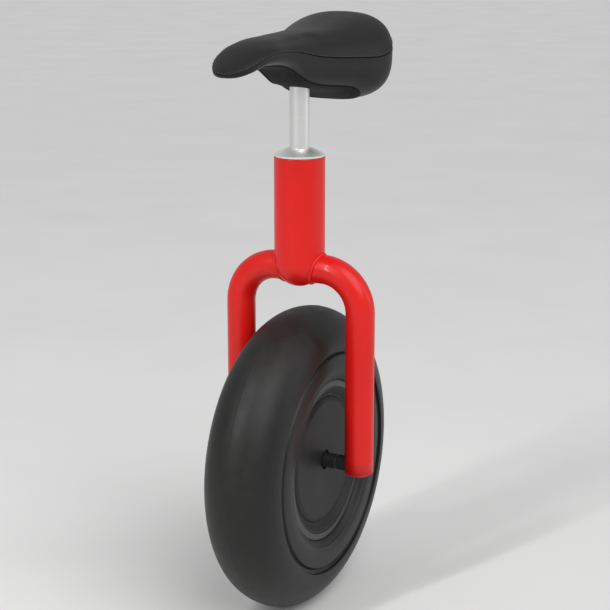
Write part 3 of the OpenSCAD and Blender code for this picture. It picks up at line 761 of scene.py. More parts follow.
@dataclass(frozen=True)
class Fork:
    """Red tube fork: a round-bottomed neck with two bent legs welded to it.

    Attributes:
        leg_y: Distance of each leg's middle line from the wheel's middle plane.
        leg_r: Outer radius of the legs.
        wall: Wall thickness of the legs.
        bend_r: Radius of the bend, to the tube's middle line.
        arm_z: Height of the arms' middle line.
        end_z: Height where the tube ends and its round plug begins.
        neck_r: Outer radius of the neck.
        neck_wall: Wall thickness of the neck.
        neck_z: Height where the neck's round bottom begins.
        neck_top: Height of the neck's rim.
        axle_z: Height of the axle.
        segments: Points round each tube.
    """

    leg_y: float = 87.5
    leg_r: float = 19.0
    wall: float = 2.0
    bend_r: float = 54.0
    arm_z: float = 463.0
    end_z: float = 194.0
    neck_r: float = 33.0
    neck_wall: float = 3.0
    neck_z: float = 471.0
    neck_top: float = 608.0
    axle_z: float = 203.0
    segments: int = 96

    def on_neck(self, radius: float, angle: Array) -> Array:
        """Points where a tube of some radius along Y meets the neck's outside.

        X and Z lie on the tube's circle, and Y is the square root of the neck's radius squared
        less X squared, less the height below the round bottom's start squared.

        Args:
            radius: Radius of the tube.
            angle: Angles round the tube, from +X towards +Z.

        Returns:
            Points on the neck.
        """
        x, z = radius * np.cos(angle), self.arm_z + radius * np.sin(angle)
        drop = np.minimum(z - self.neck_z, 0)
        return np.stack([x, np.sqrt(self.neck_r ** 2 - x ** 2 - drop ** 2), z], axis=-1)

    def leg_rings(self, radius: float, low: float) -> Array:
        """Rings of one leg's skin from the neck round the bend to the low end.

        The middle line is a quarter circle and a straight. Each ring stands across it: X along
        the frame's own X, and the other way round outward from the bend's centre.

        Args:
            radius: Radius of the skin.
            low: Height of its lower end.

        Returns:
            Rings as rows of points.
        """
        angle = np.linspace(0, 2 * np.pi, self.segments, endpoint=False)
        bend = np.linspace(np.pi / 2, 0, 33)
        centre = np.array([self.leg_y - self.bend_r, self.arm_z - self.bend_r])
        out = np.stack([np.cos(bend), np.sin(bend)], 1)
        middle = centre + self.bend_r * out
        drop = np.linspace(0, 1, 12)[1:, None]
        foot = np.array([self.leg_y, low])
        middle = np.concatenate([middle, middle[-1] * (1 - drop) + foot * drop])
        out = np.concatenate([out, np.tile([[1.0, 0.0]], (len(drop), 1))])
        x = np.broadcast_to(radius * np.cos(angle), (len(middle), len(angle)))
        yz = middle[:, None] + radius * np.sin(angle)[None, :, None] * out[:, None]
        rings = np.concatenate([x[..., None], yz], axis=-1)
        start = self.on_neck(radius, angle)[None]
        return np.concatenate([start, start * 0.5 + rings[:1] * 0.5, rings])

    def build_leg(self, side: int, name: str) -> None:
        """Make one leg as a bent tube with a wall, cut to the neck's side.

        Args:
            side: 1 for the left leg and -1 for the right leg.
            name: The node it stands for.
        """
        outer = self.leg_rings(self.leg_r, self.end_z)
        inner = self.leg_rings(self.leg_r - self.wall, self.end_z)
        shell = Shell()
        both = np.concatenate([outer, inner[::-1]]) * (1, side, 1)
        shell.knit(shell.add(both), round_rows=True)
        shell.piece(name + "_tube", "frame", RED_ENAMEL, [name])

    def build_plug(self, side: int, name: str) -> None:
        """Make one leg's round end, with the deep seat of its clamp bolt.

        The outside is an arc from the tube's edge in to a flat at the bolt's seat.

        Args:
            side: 1 for the left plug and -1 for the right plug.
            name: The node it stands for.
        """
        drop, seat_mouth = 6, 6.4
        dome_r, low = (self.leg_r ** 2 + drop ** 2) / (2 * drop), self.end_z - drop
        edge = math.asin(self.leg_r / dome_r)
        turn = np.linspace(edge, math.asin(seat_mouth / dome_r), 16)
        dome = np.stack([dome_r * np.sin(turn), low + dome_r - dome_r * np.cos(turn)], 1)
        seat, top = self.end_z - 1.5, 196.8
        rest = np.array([[5.9, low + 0.8], [5.5, low + 1.1], [5.4, low + 1.5], [5.4, seat - 0.1],
                         [5.3, seat], [3.3, seat], [3.2, seat + 0.1], [3.2, top - 0.1], [3.3, top],
                         [16.7, top], [16.95, top - 0.2], [16.95, self.end_z + 0.1],
                         [17.2, self.end_z], [18.7, self.end_z], [18.95, self.end_z - 0.15]])
        outline = np.concatenate([dome, rest])
        solid = ring_solid(outline, Spin.UPRIGHT, (0, side * self.leg_y), self.segments)
        solid.piece(name + "_cap", "frame", RED_ENAMEL, [name])

    def build_neck(self) -> None:
        """Make the neck: a tube with a round bottom, a softened rim and a drain hole."""
        outer, inner, drain = self.neck_r, self.neck_r - self.neck_wall, 3.0
        sweep = np.linspace(0, np.pi / 2 - math.asin(drain / outer), 30)
        skin = np.stack([outer * np.cos(sweep), self.neck_z - outer * np.sin(sweep)], 1)
        sweep = np.linspace(np.pi / 2 - math.asin(drain / inner), 0, 24)
        lining = np.stack([inner * np.cos(sweep), self.neck_z - inner * np.sin(sweep)], 1)
        soft = np.linspace(0, np.pi / 2, 6)
        lip = 0.9
        low = self.neck_top - lip
        rim_in = np.stack([inner + lip - lip * np.cos(soft), low + lip * np.sin(soft)], 1)
        rim_out = np.stack([outer - lip + lip * np.sin(soft), low + lip * np.cos(soft)], 1)
        walls = np.array([[outer, self.neck_top - 1.4], [outer, self.neck_z + 0.4]])
        loop = np.concatenate([walls, skin, lining, [[inner, self.neck_z + 0.4]], rim_in, rim_out])
        solid = ring_solid(loop, Spin.UPRIGHT, (0, 0), 160)
        solid.piece("neck_shell", "frame", RED_ENAMEL, ["neck_tube", "neck_dome"])

    def build_weld(self, side: int, word: str) -> None:
        """Make the weld bead where a leg meets the neck.

        The bead's middle follows the line where tube and neck meet. Its section is an ellipse
        that swells and shrinks round the joint like overlapping coins: the size is the mean size
        times one plus a share of the absolute sine of the coin count times half the angle.

        Args:
            side: 1 for the left weld and -1 for the right weld.
            word: The side's name.
        """
        coins, mean, swell = 46, 2.5, 0.16
        angle = np.linspace(0, 2 * np.pi, coins * 8, endpoint=False)
        path = self.on_neck(self.leg_r, angle)
        ahead = np.roll(path, -1, axis=0) - np.roll(path, 1, axis=0)
        ahead /= np.linalg.norm(ahead, axis=1, keepdims=True)
        out = np.stack([np.cos(angle), np.zeros_like(angle), np.sin(angle)], 1)
        side_on = np.cross(ahead, out)
        side_on /= np.linalg.norm(side_on, axis=1, keepdims=True)
        out = np.cross(side_on, ahead)
        size = mean * (1 + swell * np.abs(np.sin(coins * angle / 2)) - swell / 2)
        lean = np.linspace(0, 2 * np.pi, 14, endpoint=False)[None, :, None]
        rings = path[:, None] + size[:, None, None] * (
            np.cos(lean) * out[:, None] + np.sin(lean) * side_on[:, None])
        shell = Shell()
        shell.knit(shell.add(rings * (1, side, 1)), round_rows=True)
        shell.piece(f"fork_weld_{word}", "frame", RED_ENAMEL)

    def build_spacer(self, side: int, name: str) -> None:
        """Make one turned spacer between the bearing and the leg, with a chamfer and a groove.

        Args:
            side: 1 for the left spacer and -1 for the right spacer.
            name: The node it stands for.
        """
        bore, outer, start, end = 6.05, 10.0, 35.0, self.leg_y - self.leg_r + 2.2
        outline = rounded([
            (bore, start, 0.3), (outer - 0.8, start, 0.3), (outer, start + 0.8, 0.3),
            (outer, 56, 0.2), (outer - 0.7, 56.5, 0.2), (outer - 0.7, 58.5, 0.2), (outer, 59, 0.2),
            (outer, end, 0.2), (bore, end, 0.2),
        ], steps=3)
        solid = ring_solid(outline * (1, side), Spin.AXLE, (0, self.axle_z), 72)
        solid.piece(name + "_sleeve", "frame", BLACK_OXIDE, [name])

    def build(self) -> None:
        """Build every piece of the fork and dress its inner pieces."""
        self.build_neck()
        for side, word in ((1, "left"), (-1, "right")):
            self.build_leg(side, f"fork_leg_{word}")
            self.build_plug(side, f"leg_end_plug_{word}")
            self.build_weld(side, word)
            self.build_spacer(side, f"axle_spacer_{word}")
        dress(BLACK_OXIDE, "axle_clamp_bolts", "axle_block_left", "axle_block_right",
              "bearing_spacer")
        dress(ZINC, "axle", "collet_seat")
        dress(NYLON, "guide_bush")


# ---------------------------------------------------------------- seat clamp and post


@dataclass(frozen=True)
class SeatClamp:
    """Low silver dome nut, washer and split collet that hold the seat post.

    Attributes:
        nut_z: Height of the nut's underside.
        nut_r: Radius of the nut.
        rise: Height of the dome.
        bore: Radius of the hole for the post.
    """

    nut_z: float = 608.3
    nut_r: float = 32.0
    rise: float = 12.7
    bore: float = 13.1

    def build(self) -> None:
        """Make the dome nut and dress the pieces under it.

        The dome is an arc through its middle height and its edge: its radius is (edge radius
        squared plus rise squared) over twice the rise.
        """
        skirt, lip, spigot_r, spigot_long = 2.2, 1.0, 25.9, 6.1
        rise = self.rise - skirt
        cap_r = (self.nut_r ** 2 + rise ** 2) / (2 * rise)
        centre = self.nut_z + self.rise - cap_r
        edge, mouth = math.asin((self.nut_r - 0.9) / cap_r), math.asin((self.bore + lip) / cap_r)
        lean = np.linspace(edge, mouth, 20)
        dome = np.stack([cap_r * np.sin(lean), centre + cap_r * np.cos(lean)], 1)
        soft = np.linspace(0, np.pi / 2, 6)
        lip_z = dome[-1, 1] - lip
        lip_arc = np.stack([self.bore + lip - np.sin(soft), lip_z + np.cos(soft)], 1)
        low, top = self.nut_z - spigot_long, self.nut_z + skirt
        foot = rounded([(self.bore, low, 0.4), (spigot_r, low, 0.5), (spigot_r, self.nut_z, 0.2),
                        (self.nut_r, self.nut_z, 0.5), (self.nut_r, top + 0.4, 0.6),
                        (self.nut_r - 1.2, top + 0.75, 0.2), (self.bore + 2, 618, 0.1)])
        foot = foot[foot[:, 1] < top + 0.5]
        loop = np.concatenate([foot, dome, lip_arc[1:]])
        solid = ring_solid(loop, Spin.UPRIGHT, (0, 0), 160)
        solid.piece("dome_nut_turned", "clamp_nut", TURNED_ALLOY, ["dome_nut"])
        dress(ZINC, "thrust_washer")
        dress(BRASS, "collet")


@dataclass(frozen=True)
class SeatPost:
    """Silver tube with a plate on top that the saddle bolts to.

    Attributes:
        radius: Outer radius of the tube.
        wall: Its wall thickness.
        low: Height of its lower end.
        high: Height of its upper end.
    """

    radius: float = 12.7
    wall: float = 2.0
    low: float = 514.0
    high: float = 735.0

    def build(self) -> None:
        """Make the tube, its weld under the plate, and dress its other pieces."""
        inner = self.radius - self.wall
        outline = rounded([(inner, self.low, 0.3), (self.radius, self.low, 0.3),
                           (self.radius, self.high, 0.3), (inner, self.high, 0.3)], steps=3)
        tube = ring_solid(outline, Spin.UPRIGHT, (0, 0), 128)
        tube.piece("seat_post_tube", "seat", SATIN_STEEL, ["seat_post"])
        coins, mean, wide, tall = 36, 2.2, 0.9, 0.8
        angle = np.linspace(0, 2 * np.pi, coins * 6, endpoint=False)
        size = mean * (0.93 + 0.14 * np.abs(np.sin(coins * angle / 2)))
        lean = np.linspace(0, 2 * np.pi, 12, endpoint=False)[:, None]
        reach = self.radius + size * np.cos(lean) * wide
        height = self.high - 0.4 + size * np.sin(lean) * tall
        bead = np.stack([reach * np.cos(angle), reach * np.sin(angle), height], axis=-1)
        bead[..., 2] = np.minimum(bead[..., 2], self.high + 0.6)
        shell = Shell()
        shell.knit(shell.add(bead), round_rows=True)
        shell.piece("seat_post_weld", "seat", SATIN_STEEL)
        dress(BASE_PLASTIC, "post_end_plug")
        dress(BLACK_OXIDE, "post_plate")


# ---------------------------------------------------------------- saddle


@dataclass(frozen=True)
class Station:
    """One cross-section of the saddle.

    Attributes:
        share: Share of the length from tail to nose.
        half_width: Half width at its widest line.
        crest: Height of the top.
        under: Height of the underside.
    """

    share: float
    half_width: float
    crest: float
    under: float


@dataclass(frozen=True)
class Filling:
    """Cloth run that fills the saddle's pad out under its cover.

    Attributes:
        inset: How far the unfilled pad lies inside the outer skin, in millimetres.
        low: Ring angle where the unfilled pad begins, in degrees.
        high: Ring angle where it closes over, in degrees.
        cell: Size of the even cells it is remeshed into, in millimetres.
        held: Height of the band at its bottom that can't move, in millimetres.
        pressure: Pressure inside.
        stiffness: How hard the cloth is to stretch or to squeeze.
        quality: Solver steps in each frame.
        frames: Frames that the run takes.
        reach: Distance over which cells count for a point, in millimetres.
        ease: Softness of the bend that keeps the swell above zero, in square millimetres.
        cap: The most that a point may swell, in millimetres.
    """

    inset: float = 2.0
    low: float = -26.0
    high: float = 84.0
    cell: float = 5.0
    held: float = 4.0
    pressure: float = 4.0
    stiffness: float = 25.0
    quality: int = 6
    frames: int = 20
    reach: float = 9.0
    ease: float = 4.0
    cap: float = 4.0


@dataclass(frozen=True)
class Saddle:
    """Nosed saddle: padded vinyl cover, edge strip and pan over a moulded base.

    Attributes:
        nose_x: Forward end of the nose.
        tail_x: Rear end.
        centre_x: Middle that every ring closes in to.
        cover: Thickness of the cover.
        pan: Thickness of the pan.
        base_top: Height of the moulded base's top.
        rim: Angle of the cover's rim below the widest line, in degrees.
        trim: Angle where the edge strip meets the pan, in degrees.
        seam: Angle of the sewn seam, in degrees.
        columns: Points round each ring.
    """

    nose_x: float = 194.0
    tail_x: float = -152.0
    centre_x: float = 26.0
    cover: float = 4.0
    pan: float = 3.0
    base_top: float = 743.1
    rim: float = -55.0
    trim: float = -62.0
    seam: float = 5.0
    columns: int = 256

    STATIONS = (
        Station(0.00, 94, 810, 691), Station(0.16, 85, 783, 672), Station(0.33, 64, 769, 687),
        Station(0.50, 45, 766, 700), Station(0.66, 37, 764, 725), Station(0.84, 37, 760, 732),
        Station(1.00, 37, 736, 716),
    )
    FILLING = Filling()

    def along(self, share: Array, field: str) -> Array:
        """Smooth value of one station field along the length.

        Between two stations the value is a cubic that takes each station's value and the slope
        of the line through its neighbours.

        Args:
            share: Shares of the length.
            field: The station field.

        Returns:
            The field at each share.
        """
        at = np.array([s.share for s in self.STATIONS])
        value = np.array([getattr(s, field) for s in self.STATIONS], float)
        numbers = np.arange(len(at))
        after, before = np.minimum(numbers + 1, len(at) - 1), np.maximum(numbers - 1, 0)
        slope = (value[after] - value[before]) / (at[after] - at[before])
        i = np.clip(np.searchsorted(at, share, side="right") - 1, 0, len(at) - 2)
        width = at[i + 1] - at[i]
        t = (share - at[i]) / width
        leaving = (2 * t ** 3 - 3 * t ** 2 + 1) * value[i] + (t ** 3 - 2 * t ** 2 + t) * slope[i] * width
        blend, pull = 3 * t ** 2 - 2 * t ** 3, (t ** 3 - t ** 2) * width
        return leaving + blend * value[i + 1] + pull * slope[i + 1]

    @staticmethod
    def close_in(share: Array) -> Array:
        """How width and height close in at the ends: the root of one less |2 share - 1| to 6.4."""
        return np.sqrt(np.maximum(0, 1 - np.abs(2 * share - 1) ** 6.4))

    def skin(self, x: Array, y: Array, inset: Array | float, top: bool) -> Array:
        """Height of the skin over plan points.

        The middle height is halfway between crest and underside, and the skin stands off it by
        the half height times (1 - q to 2.5) to 0.4 above and (1 - q to 2.857) to 0.35 below,
        where q is Y over the half width.

        Args:
            x: Distances forward.
            y: Distances to the left.
            inset: How far inside the outer face.
            top: Whether the upper or the lower skin.

        Returns:
            Heights.
        """
        share = np.clip((x - self.tail_x - inset) / (self.nose_x - self.tail_x - 2 * inset), 0, 1)
        close = self.close_in(share)
        half = np.maximum(0.01, (self.along(share, "half_width") - inset) * close)
        crest, under = self.along(share, "crest"), self.along(share, "under")
        rise = np.maximum(0, ((crest - under) / 2 - inset) * close)
        q = np.minimum(1, np.abs(y) / half)
        if top:
            return (crest + under) / 2 + rise * np.maximum(0, 1 - q ** 2.5) ** 0.4
        return (crest + under) / 2 - rise * np.maximum(0, 1 - q ** 2.857) ** 0.35

    def plan(self, count: int, inset: Array | float, pull: Array | float) -> tuple[Array, Array]:
        """Plan points of rings pulled in towards the middle.

        The outline goes once round from the tail: X by (1 - cosine) / 2 of the angle, and Y the
        half width there, on the left for the first half turn.

        Args:
            count: Points in the ring.
            inset: How far inside the outer face.
            pull: Share of the full outline, 1 at the widest line.

        Returns:
            X and Y, as rows for each pull and columns for each point.
        """
        angle = np.linspace(0, 2 * np.pi, count, endpoint=False)[None]
        share = (1 - np.cos(angle)) / 2
        x = self.tail_x + inset + (self.nose_x - self.tail_x - 2 * inset) * share
        half = (self.along(share, "half_width") - inset) * self.close_in(share)
        y = half * np.sign(np.sin(angle).round(9))
        return self.centre_x + (x - self.centre_x) * pull, y * pull

    def rings(self, degrees: Array, inset: Array | float, count: int) -> Array:
        """Rings of the skin at angles above (positive) or below the widest line.

        A ring's pull is the cosine of its angle, to 0.8 above and to 0.7 below.

        Args:
            degrees: Angle of each ring.
            inset: How far inside the outer face, for all rings or for each.
            count: Points in each ring.

        Returns:
            Points, as rows for each angle and columns for each point.
        """
        lean = np.radians(np.asarray(degrees, float))[:, None]
        inset = np.broadcast_to(np.asarray(inset, float).reshape(-1, 1), lean.shape)
        pull = np.cos(lean) ** np.where(lean < 0, 0.7, 0.8)
        x, y = self.plan(count, inset, pull)
        up, down = self.skin(x, y, inset, True), self.skin(x, y, inset, False)
        return np.stack([x, y, np.where(lean >= 0, up, down)], axis=-1)

    def pad_rows(self) -> Array:
        """Choose the cushion's ring angles, close together at its rim and beside the seam.

        Returns:
            The angles in degrees, from the rim up.
        """
        beside = np.array([0.2, 0.45, 0.7, 1, 1.4, 2, 3])
        near = self.seam + np.concatenate([-beside[::-1], [0], beside])
        rim = self.rim + np.array([0, 0.6, 1.5])
        low = np.concatenate([rim, np.linspace(self.rim + 4, 0, 16)])
        high = np.linspace(self.seam + 5, 86, 44)
        return np.concatenate([low, near, high])

    def swell(self, points: Array) -> Array:
        """How far a filled pad under the cover pushes each point.

        A closed copy of the pad, a little small, is remeshed into even cells and blown up as
        cloth with no gravity. Each point then takes the mean move of the cells near it, weighted
        by exp(-(distance / 9 mm) squared). Only the part of that move along the point's own
        normal counts, so that the pad fills out but grows no shorter. It is eased to stay above
        zero by half of (move + root of (move squared + 4)), and below the cap by a hyperbolic
        tangent.

        Args:
            points: Points of the cover, in millimetres.

        Returns:
            Their moves, in millimetres.
        """
        fill = self.FILLING
        shell = Shell()
        angles = np.linspace(fill.low, fill.high, 30)
        rows = shell.add(self.rings(angles, fill.inset, 96))
        shell.knit(rows)
        middle = np.array([self.centre_x]), np.array([0.0])
        crest = float(self.skin(*middle, fill.inset, True)[0])
        shell.fan(rows[-1], np.array([self.centre_x, 0, crest]))
        shell.fan(rows[0], np.array([self.centre_x, 0, self.base_top - 12]))
        pad = shell.piece("pad_form", "seat", SADDLE_VINYL)
        remesh = pad.modifiers.new("even", "REMESH")
        remesh.mode = "VOXEL"
        remesh.voxel_size = fill.cell * MM
        graph = bpy.context.evaluated_depsgraph_get()
        pad.data = bpy.data.meshes.new_from_object(pad.evaluated_get(graph))
        pad.modifiers.clear()
        before = self.read_points(pad.data)
        held = pad.vertex_groups.new(name="held")
        fixed = np.flatnonzero(before[:, 2] < before[:, 2].min() + fill.held)
        held.add(fixed.tolist(), 1.0, "REPLACE")
        cloth = pad.modifiers.new("cloth", "CLOTH")
        cloth.settings.vertex_group_mass = "held"
        cloth.settings.use_pressure = True
        cloth.settings.uniform_pressure_force = fill.pressure
        cloth.settings.effector_weights.gravity = 0
        cloth.settings.tension_stiffness = fill.stiffness
        cloth.settings.compression_stiffness = fill.stiffness
        cloth.settings.quality = fill.quality
        for step in range(1, fill.frames + 1):
            bpy.context.scene.frame_set(step)
        graph = bpy.context.evaluated_depsgraph_get()
        blown = pad.evaluated_get(graph).to_mesh()
        move = self.read_points(blown) - before
        pad.evaluated_get(graph).to_mesh_clear()
        bpy.data.objects.remove(pad)
        bpy.context.scene.frame_set(1)
        flat = points.reshape(-1, 3)
        out = np.zeros_like(flat)
        for part in np.array_split(np.arange(len(flat)), 40):
            gap = ((flat[part, None] - before[None]) ** 2).sum(-1)
            weight = np.exp(-gap / fill.reach ** 2) + 1e-12
            out[part] = weight @ move / weight.sum(1, keepdims=True)
        outward = self.normals(points)
        push = (out.reshape(points.shape) * outward).sum(-1, keepdims=True)
        eased = (push + np.sqrt(push ** 2 + fill.ease)) / 2
        push = fill.cap * np.tanh(eased / fill.cap)
        LOG.info("saddle pad: %d cells, mean swell %.2f mm", len(before), float(push.mean()))
        return outward * push

    @staticmethod
    def read_points(mesh: bpy.types.Mesh) -> Array:
        """Read a mesh's points.

        Args:
            mesh: The mesh to read.

        Returns:
            Its points, in millimetres.
        """
        flat = np.empty(len(mesh.vertices) * 3, np.float32)
        mesh.vertices.foreach_get("co", flat)
        return flat.reshape(-1, 3).astype(float) / MM

    def normals(self, rows: Array) -> Array:
        """Work out the normals of rows of rings: the cross of the two directions on the grid.

        Args:
            rows: Rows of rings of points.

        Returns:
            Unit normals, outward.
        """
        across = np.roll(rows, -1, axis=1) - np.roll(rows, 1, axis=1)
        up = np.gradient(rows, axis=0)
        normal = np.cross(up, across)
        normal /= np.maximum(np.linalg.norm(normal, axis=-1, keepdims=True), 1e-9)
        inside = (self.centre_x, 0, 740)
        outward = (normal * (rows - inside)).sum(-1, keepdims=True)
        return normal * np.sign(outward.mean())

    def build_cushion(self) -> None:
        """Make the padded cover with its sewn seam, closed underneath round the base.

        The swell from the cloth run fades in above the rim. The seam is a narrow valley pushed
        in along the normal by exp(-(degrees from the seam / width) squared), with a soft roll on
        both sides and small puckers between the stitches.
        """
        angles = self.pad_rows()
        fade = np.clip((angles + 35) / 40, 0, 1)
        fade = (fade * fade * (3 - 2 * fade))[:, None, None]
        outer = self.rings(angles, self.FILLING.inset * fade[:, 0, 0], self.columns)
        outer = outer + self.swell(outer) * fade
        away = (angles - self.seam)[:, None]
        round_about = np.linspace(0, 2 * np.pi, self.columns, endpoint=False)[None]
        pucker = 0.25 * np.exp(-(away / 5) ** 2) * np.sin(round_about * 64) * np.sign(away)
        valley = -1.5 * np.exp(-(away / 0.55) ** 2)
        seam = valley + 0.55 * np.exp(-((np.abs(away) - 2.2) / 1.6) ** 2)
        outer = outer + self.normals(outer) * (seam + pucker)[..., None]
        inner_angles = np.linspace(self.rim, 0, 9)
        inner = self.rings(inner_angles, self.cover, self.columns)
        pulls = np.array([0.93, 0.8, 0.6, 0.35, 0.12])[:, None]
        x, y = self.plan(self.columns, self.cover, pulls)
        floor = np.minimum(self.base_top, self.skin(x, y, self.cover, True) - 2)
        floor = np.stack([x, y, floor], axis=-1)
        shell = Shell()
        rows = np.concatenate([floor[::-1], inner[::-1], outer])
        numbers = shell.add(rows)
        shell.knit(numbers)
        tip = outer[-1].mean(axis=0)
        tip[2] = outer[-1, :, 2].max() + 0.05
        shell.fan(numbers[-1], tip)
        shell.fan(numbers[0], np.array([self.centre_x, 0, self.base_top]))
        made = shell.piece("saddle_cushion", "seat", SADDLE_VINYL, ["saddle_cover", "saddle_foam"])
        self.build_stitches(outer, angles)

    def build_stitches(self, outer: Array, angles: Array) -> None:
        """Lay one row of stitches just above the seam.

        Each stitch is a small lens: its half length, width and height times the cosines and sines
        of two angles, turned to lie along the seam.

        Args:
            outer: Rings of the finished cushion.
            angles: Their angles.
        """
        above_seam, lift_off = 2.4, 0.15
        row = int(np.argmin(np.abs(angles - self.seam - above_seam)))
        line, normal = outer[row], self.normals(outer)[row]
        steps = np.linalg.norm(np.roll(line, -1, axis=0) - line, axis=1)
        far = np.concatenate([[0], np.cumsum(steps)])
        pitch, half = 5.2, np.array([1.75, 0.5, 0.42])
        count = int(far[-1] // pitch)
        want = np.linspace(0, far[-1], count, endpoint=False)
        closed = np.concatenate([line, line[:1]])
        out = np.concatenate([normal, normal[:1]])
        spot = np.stack([np.interp(want, far, closed[:, k]) for k in range(3)], 1)
        lift = np.stack([np.interp(want, far, out[:, k]) for k in range(3)], 1)
        lift /= np.linalg.norm(lift, axis=1, keepdims=True)
        ahead = np.roll(spot, -1, axis=0) - np.roll(spot, 1, axis=0)
        ahead -= lift * (ahead * lift).sum(1, keepdims=True)
        ahead /= np.linalg.norm(ahead, axis=1, keepdims=True)
        beside = np.cross(lift, ahead)
        long = np.linspace(-1, 1, 7)[1:-1][:, None]
        turn = np.linspace(0, 2 * np.pi, 8, endpoint=False)[None]
        girth = np.sqrt(1 - long ** 2)
        wide, tall = girth * np.cos(turn), girth * np.sin(turn)
        lens = np.stack([np.broadcast_to(long, wide.shape), wide, tall], -1) * half
        axes = np.stack([ahead, beside, lift], axis=1)
        placed = spot[:, None, None] + np.einsum("rck,nkj->nrcj", lens, axes)
        placed = placed + lift[:, None, None] * lift_off
        shell = Shell()
        for k in range(count):
            numbers = shell.add(placed[k])
            shell.knit(numbers)
            shell.fan(numbers[0], spot[k] - ahead[k] * half[0] + lift[k] * lift_off)
            shell.fan(numbers[-1], spot[k] + ahead[k] * half[0] + lift[k] * lift_off)
        shell.piece("saddle_stitches", "seat", THREAD)

    def build_trim(self) -> None:
        """Make the rounded strip that closes the gap between the cover's rim and the pan.

        Its section is a loop: the ring angle swings between pan and rim with the cosine, and the
        inset between proud and inside with the sine.
        """
        turn = np.linspace(0, 2 * np.pi, 16, endpoint=False)
        middle, half = (self.rim + self.trim) / 2, (self.rim - self.trim) / 2 - 0.1
        soft = np.sign(np.cos(turn)) * np.abs(np.cos(turn)) ** 0.7
        inset = 0.6 - 1.9 * np.sin(turn)
        strip = np.stack([
            self.rings(np.array([middle + half * swing]), depth, self.columns)[0]
            for swing, depth in zip(soft, inset)])
        shell = Shell()
        shell.knit(shell.add(strip), round_rows=True)
        shell.piece("saddle_edge_strip", "seat", BASE_PLASTIC, ["saddle_edge_trim"])

    def build_pan(self) -> None:
        """Make the pan under the saddle, with its hole for the post."""
        reach = math.cos(math.radians(self.trim)) ** 0.7
        pulls = reach * np.linspace(1, 0.05, 18)[:, None]
        sheets = []
        for inset in (0.0, self.pan):
            x, y = self.plan(self.columns // 2, inset, pulls)
            sheets.append(np.stack([x, y, self.skin(x, y, inset, False)], axis=-1))
        shell = Shell()
        numbers = shell.add(np.concatenate([sheets[0][::-1], sheets[1]]))
        shell.knit(numbers)
        middle = np.array([self.centre_x]), np.array([0.0])
        for row, inset in ((0, 0.0), (-1, self.pan)):
            height = float(self.skin(*middle, inset, False)[0])
            shell.fan(numbers[row], np.array([self.centre_x, 0, height]))
        made = shell.piece("saddle_pan_moulding", "seat", BASE_PLASTIC, ["saddle_pan"])
        post_hole, hole_z, cutter_long = 13.6, 710, 60
        drill(made, [(0, 0, hole_z)], post_hole, UPWARD, cutter_long)

    def build(self) -> None:
        """Build every piece of the saddle and dress the fasteners."""
        self.build_cushion()
        self.build_trim()
        self.build_pan()
        dress(BASE_PLASTIC, "saddle_base")
        dress(ZINC, "saddle_bolts", "saddle_washers", "saddle_nuts")


# ---------------------------------------------------------------- studio


@dataclass(frozen=True)
class Lamp:
    """One soft light aimed at the unicycle.

    Attributes:
        name: What it is for.
        place: Where it stands, in metres.
        size: Width and height of its face in metres, or none for the wide light of a bright sky.
        power: Watts, or watts for each square metre for the wide light.
    """

    name: str
    place: tuple[float, float, float]
    size: tuple[float, float] | None
    power: float

    def build(self, aim: Vector) -> None:
        """Hang the light and turn it to the aim.

        Args:
            aim: The point it lights, in metres.
        """
        data = bpy.data.lights.new(self.name, "AREA" if self.size else "SUN")
        if self.size:
            data.shape = "RECTANGLE"
            data.size, data.size_y = self.size
        else:
            data.angle = math.radians(SKY_SPREAD)
        data.energy = self.power
        lamp = bpy.data.objects.new(self.name, data)
        bpy.context.scene.collection.objects.link(lamp)
        lamp.location = self.place
        lamp.rotation_euler = (aim - lamp.location).to_track_quat("-Z", "Y").to_euler()


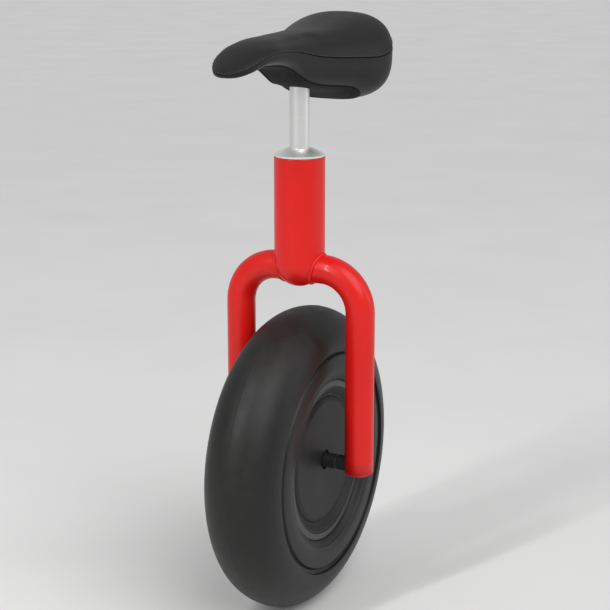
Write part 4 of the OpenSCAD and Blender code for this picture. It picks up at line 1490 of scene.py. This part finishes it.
@dataclass(frozen=True)
class Studio:
    """Camera, floor and lights.

    Attributes:
        heading: Angle of the camera from +X towards +Y, in degrees.
        elevation: Angle of the camera above the horizon, in degrees.
        distance: Distance from the middle of the unicycle, in metres.
        lens: Focal length on a 36 mm sensor.
        middle_z: Height of the unicycle's middle, in metres.
        aim_right: How far right of the middle the camera aims, in metres.
        aim_up: How far above the middle the camera aims, in metres.
    """

    heading: float = 27.0
    elevation: float = 14.5
    distance: float = 2.0
    lens: float = 89.79
    middle_z: float = 0.40
    aim_right: float = 0.00697
    aim_up: float = 0.01104

    LAMPS = (
        Lamp("key", (1.4, 2.6, 3.6), None, 1.75),
        Lamp("strip", (1.5, -0.45, 1.7), (0.09, 1.8), 20),
        Lamp("edge", (-1.2, 2.4, 1.3), (0.4, 2.0), 8),
    )

    def build(self) -> None:
        """Set up the camera, the floor, the world and the lights."""
        heading, rise = math.radians(self.heading), math.radians(self.elevation)
        level = math.cos(rise)
        back = Vector((math.cos(heading) * level, math.sin(heading) * level, math.sin(rise)))
        right = Vector((-math.sin(heading), math.cos(heading), 0))
        middle = Vector((0, 0, self.middle_z))
        aim = middle + right * self.aim_right + back.cross(right) * self.aim_up
        data = bpy.data.cameras.new("camera")
        data.lens = self.lens
        data.sensor_width = 36.0
        data.clip_start, data.clip_end = 0.05, 50
        camera = bpy.data.objects.new("camera", data)
        bpy.context.scene.collection.objects.link(camera)
        camera.location = middle + back * self.distance
        camera.rotation_euler = (aim - camera.location).to_track_quat("-Z", "Y").to_euler()
        bpy.context.scene.camera = camera
        self.build_floor()
        world = bpy.data.worlds.new("studio")
        world.use_nodes = True
        sky = world.node_tree.nodes["Background"]
        sky.inputs["Color"].default_value = linear("#F4F5F6")
        sky.inputs["Strength"].default_value = 0.46
        bpy.context.scene.world = world
        bpy.context.scene.view_settings.view_transform = "Standard"
        for lamp in self.LAMPS:
            lamp.build(middle)

    @staticmethod
    def build_floor() -> None:
        """Lay a large disc of floor: rings of points at growing radii round the origin."""
        reach = np.array([0.5, 2.0, 8.0, 30.0])[:, None] * 1000
        turn = np.linspace(0, 2 * np.pi, 64, endpoint=False)[None]
        x, y = reach * np.cos(turn), reach * np.sin(turn)
        rows = np.stack([x, y, np.zeros_like(x)], axis=-1)
        shell = Shell()
        numbers = shell.add(rows)
        shell.knit(numbers)
        shell.fan(numbers[0], np.zeros(3))
        mesh = bpy.data.meshes.new("floor")
        mesh.from_pydata(np.concatenate(shell.points) * MM, [], shell.faces)
        mesh.materials.append(FLOOR_PAINT.material())
        floor = bpy.data.objects.new("floor", mesh)
        bpy.context.scene.collection.objects.link(floor)


def main() -> None:
    """Build the studio, then the unicycle round the frame."""
    logging.basicConfig(level=logging.INFO, format="%(name)s: %(message)s")
    Studio().build()
    Wheel().build()
    Fork().build()
    SeatClamp().build()
    SeatPost().build()
    Saddle().build()


if __name__ == "__main__":
    main()
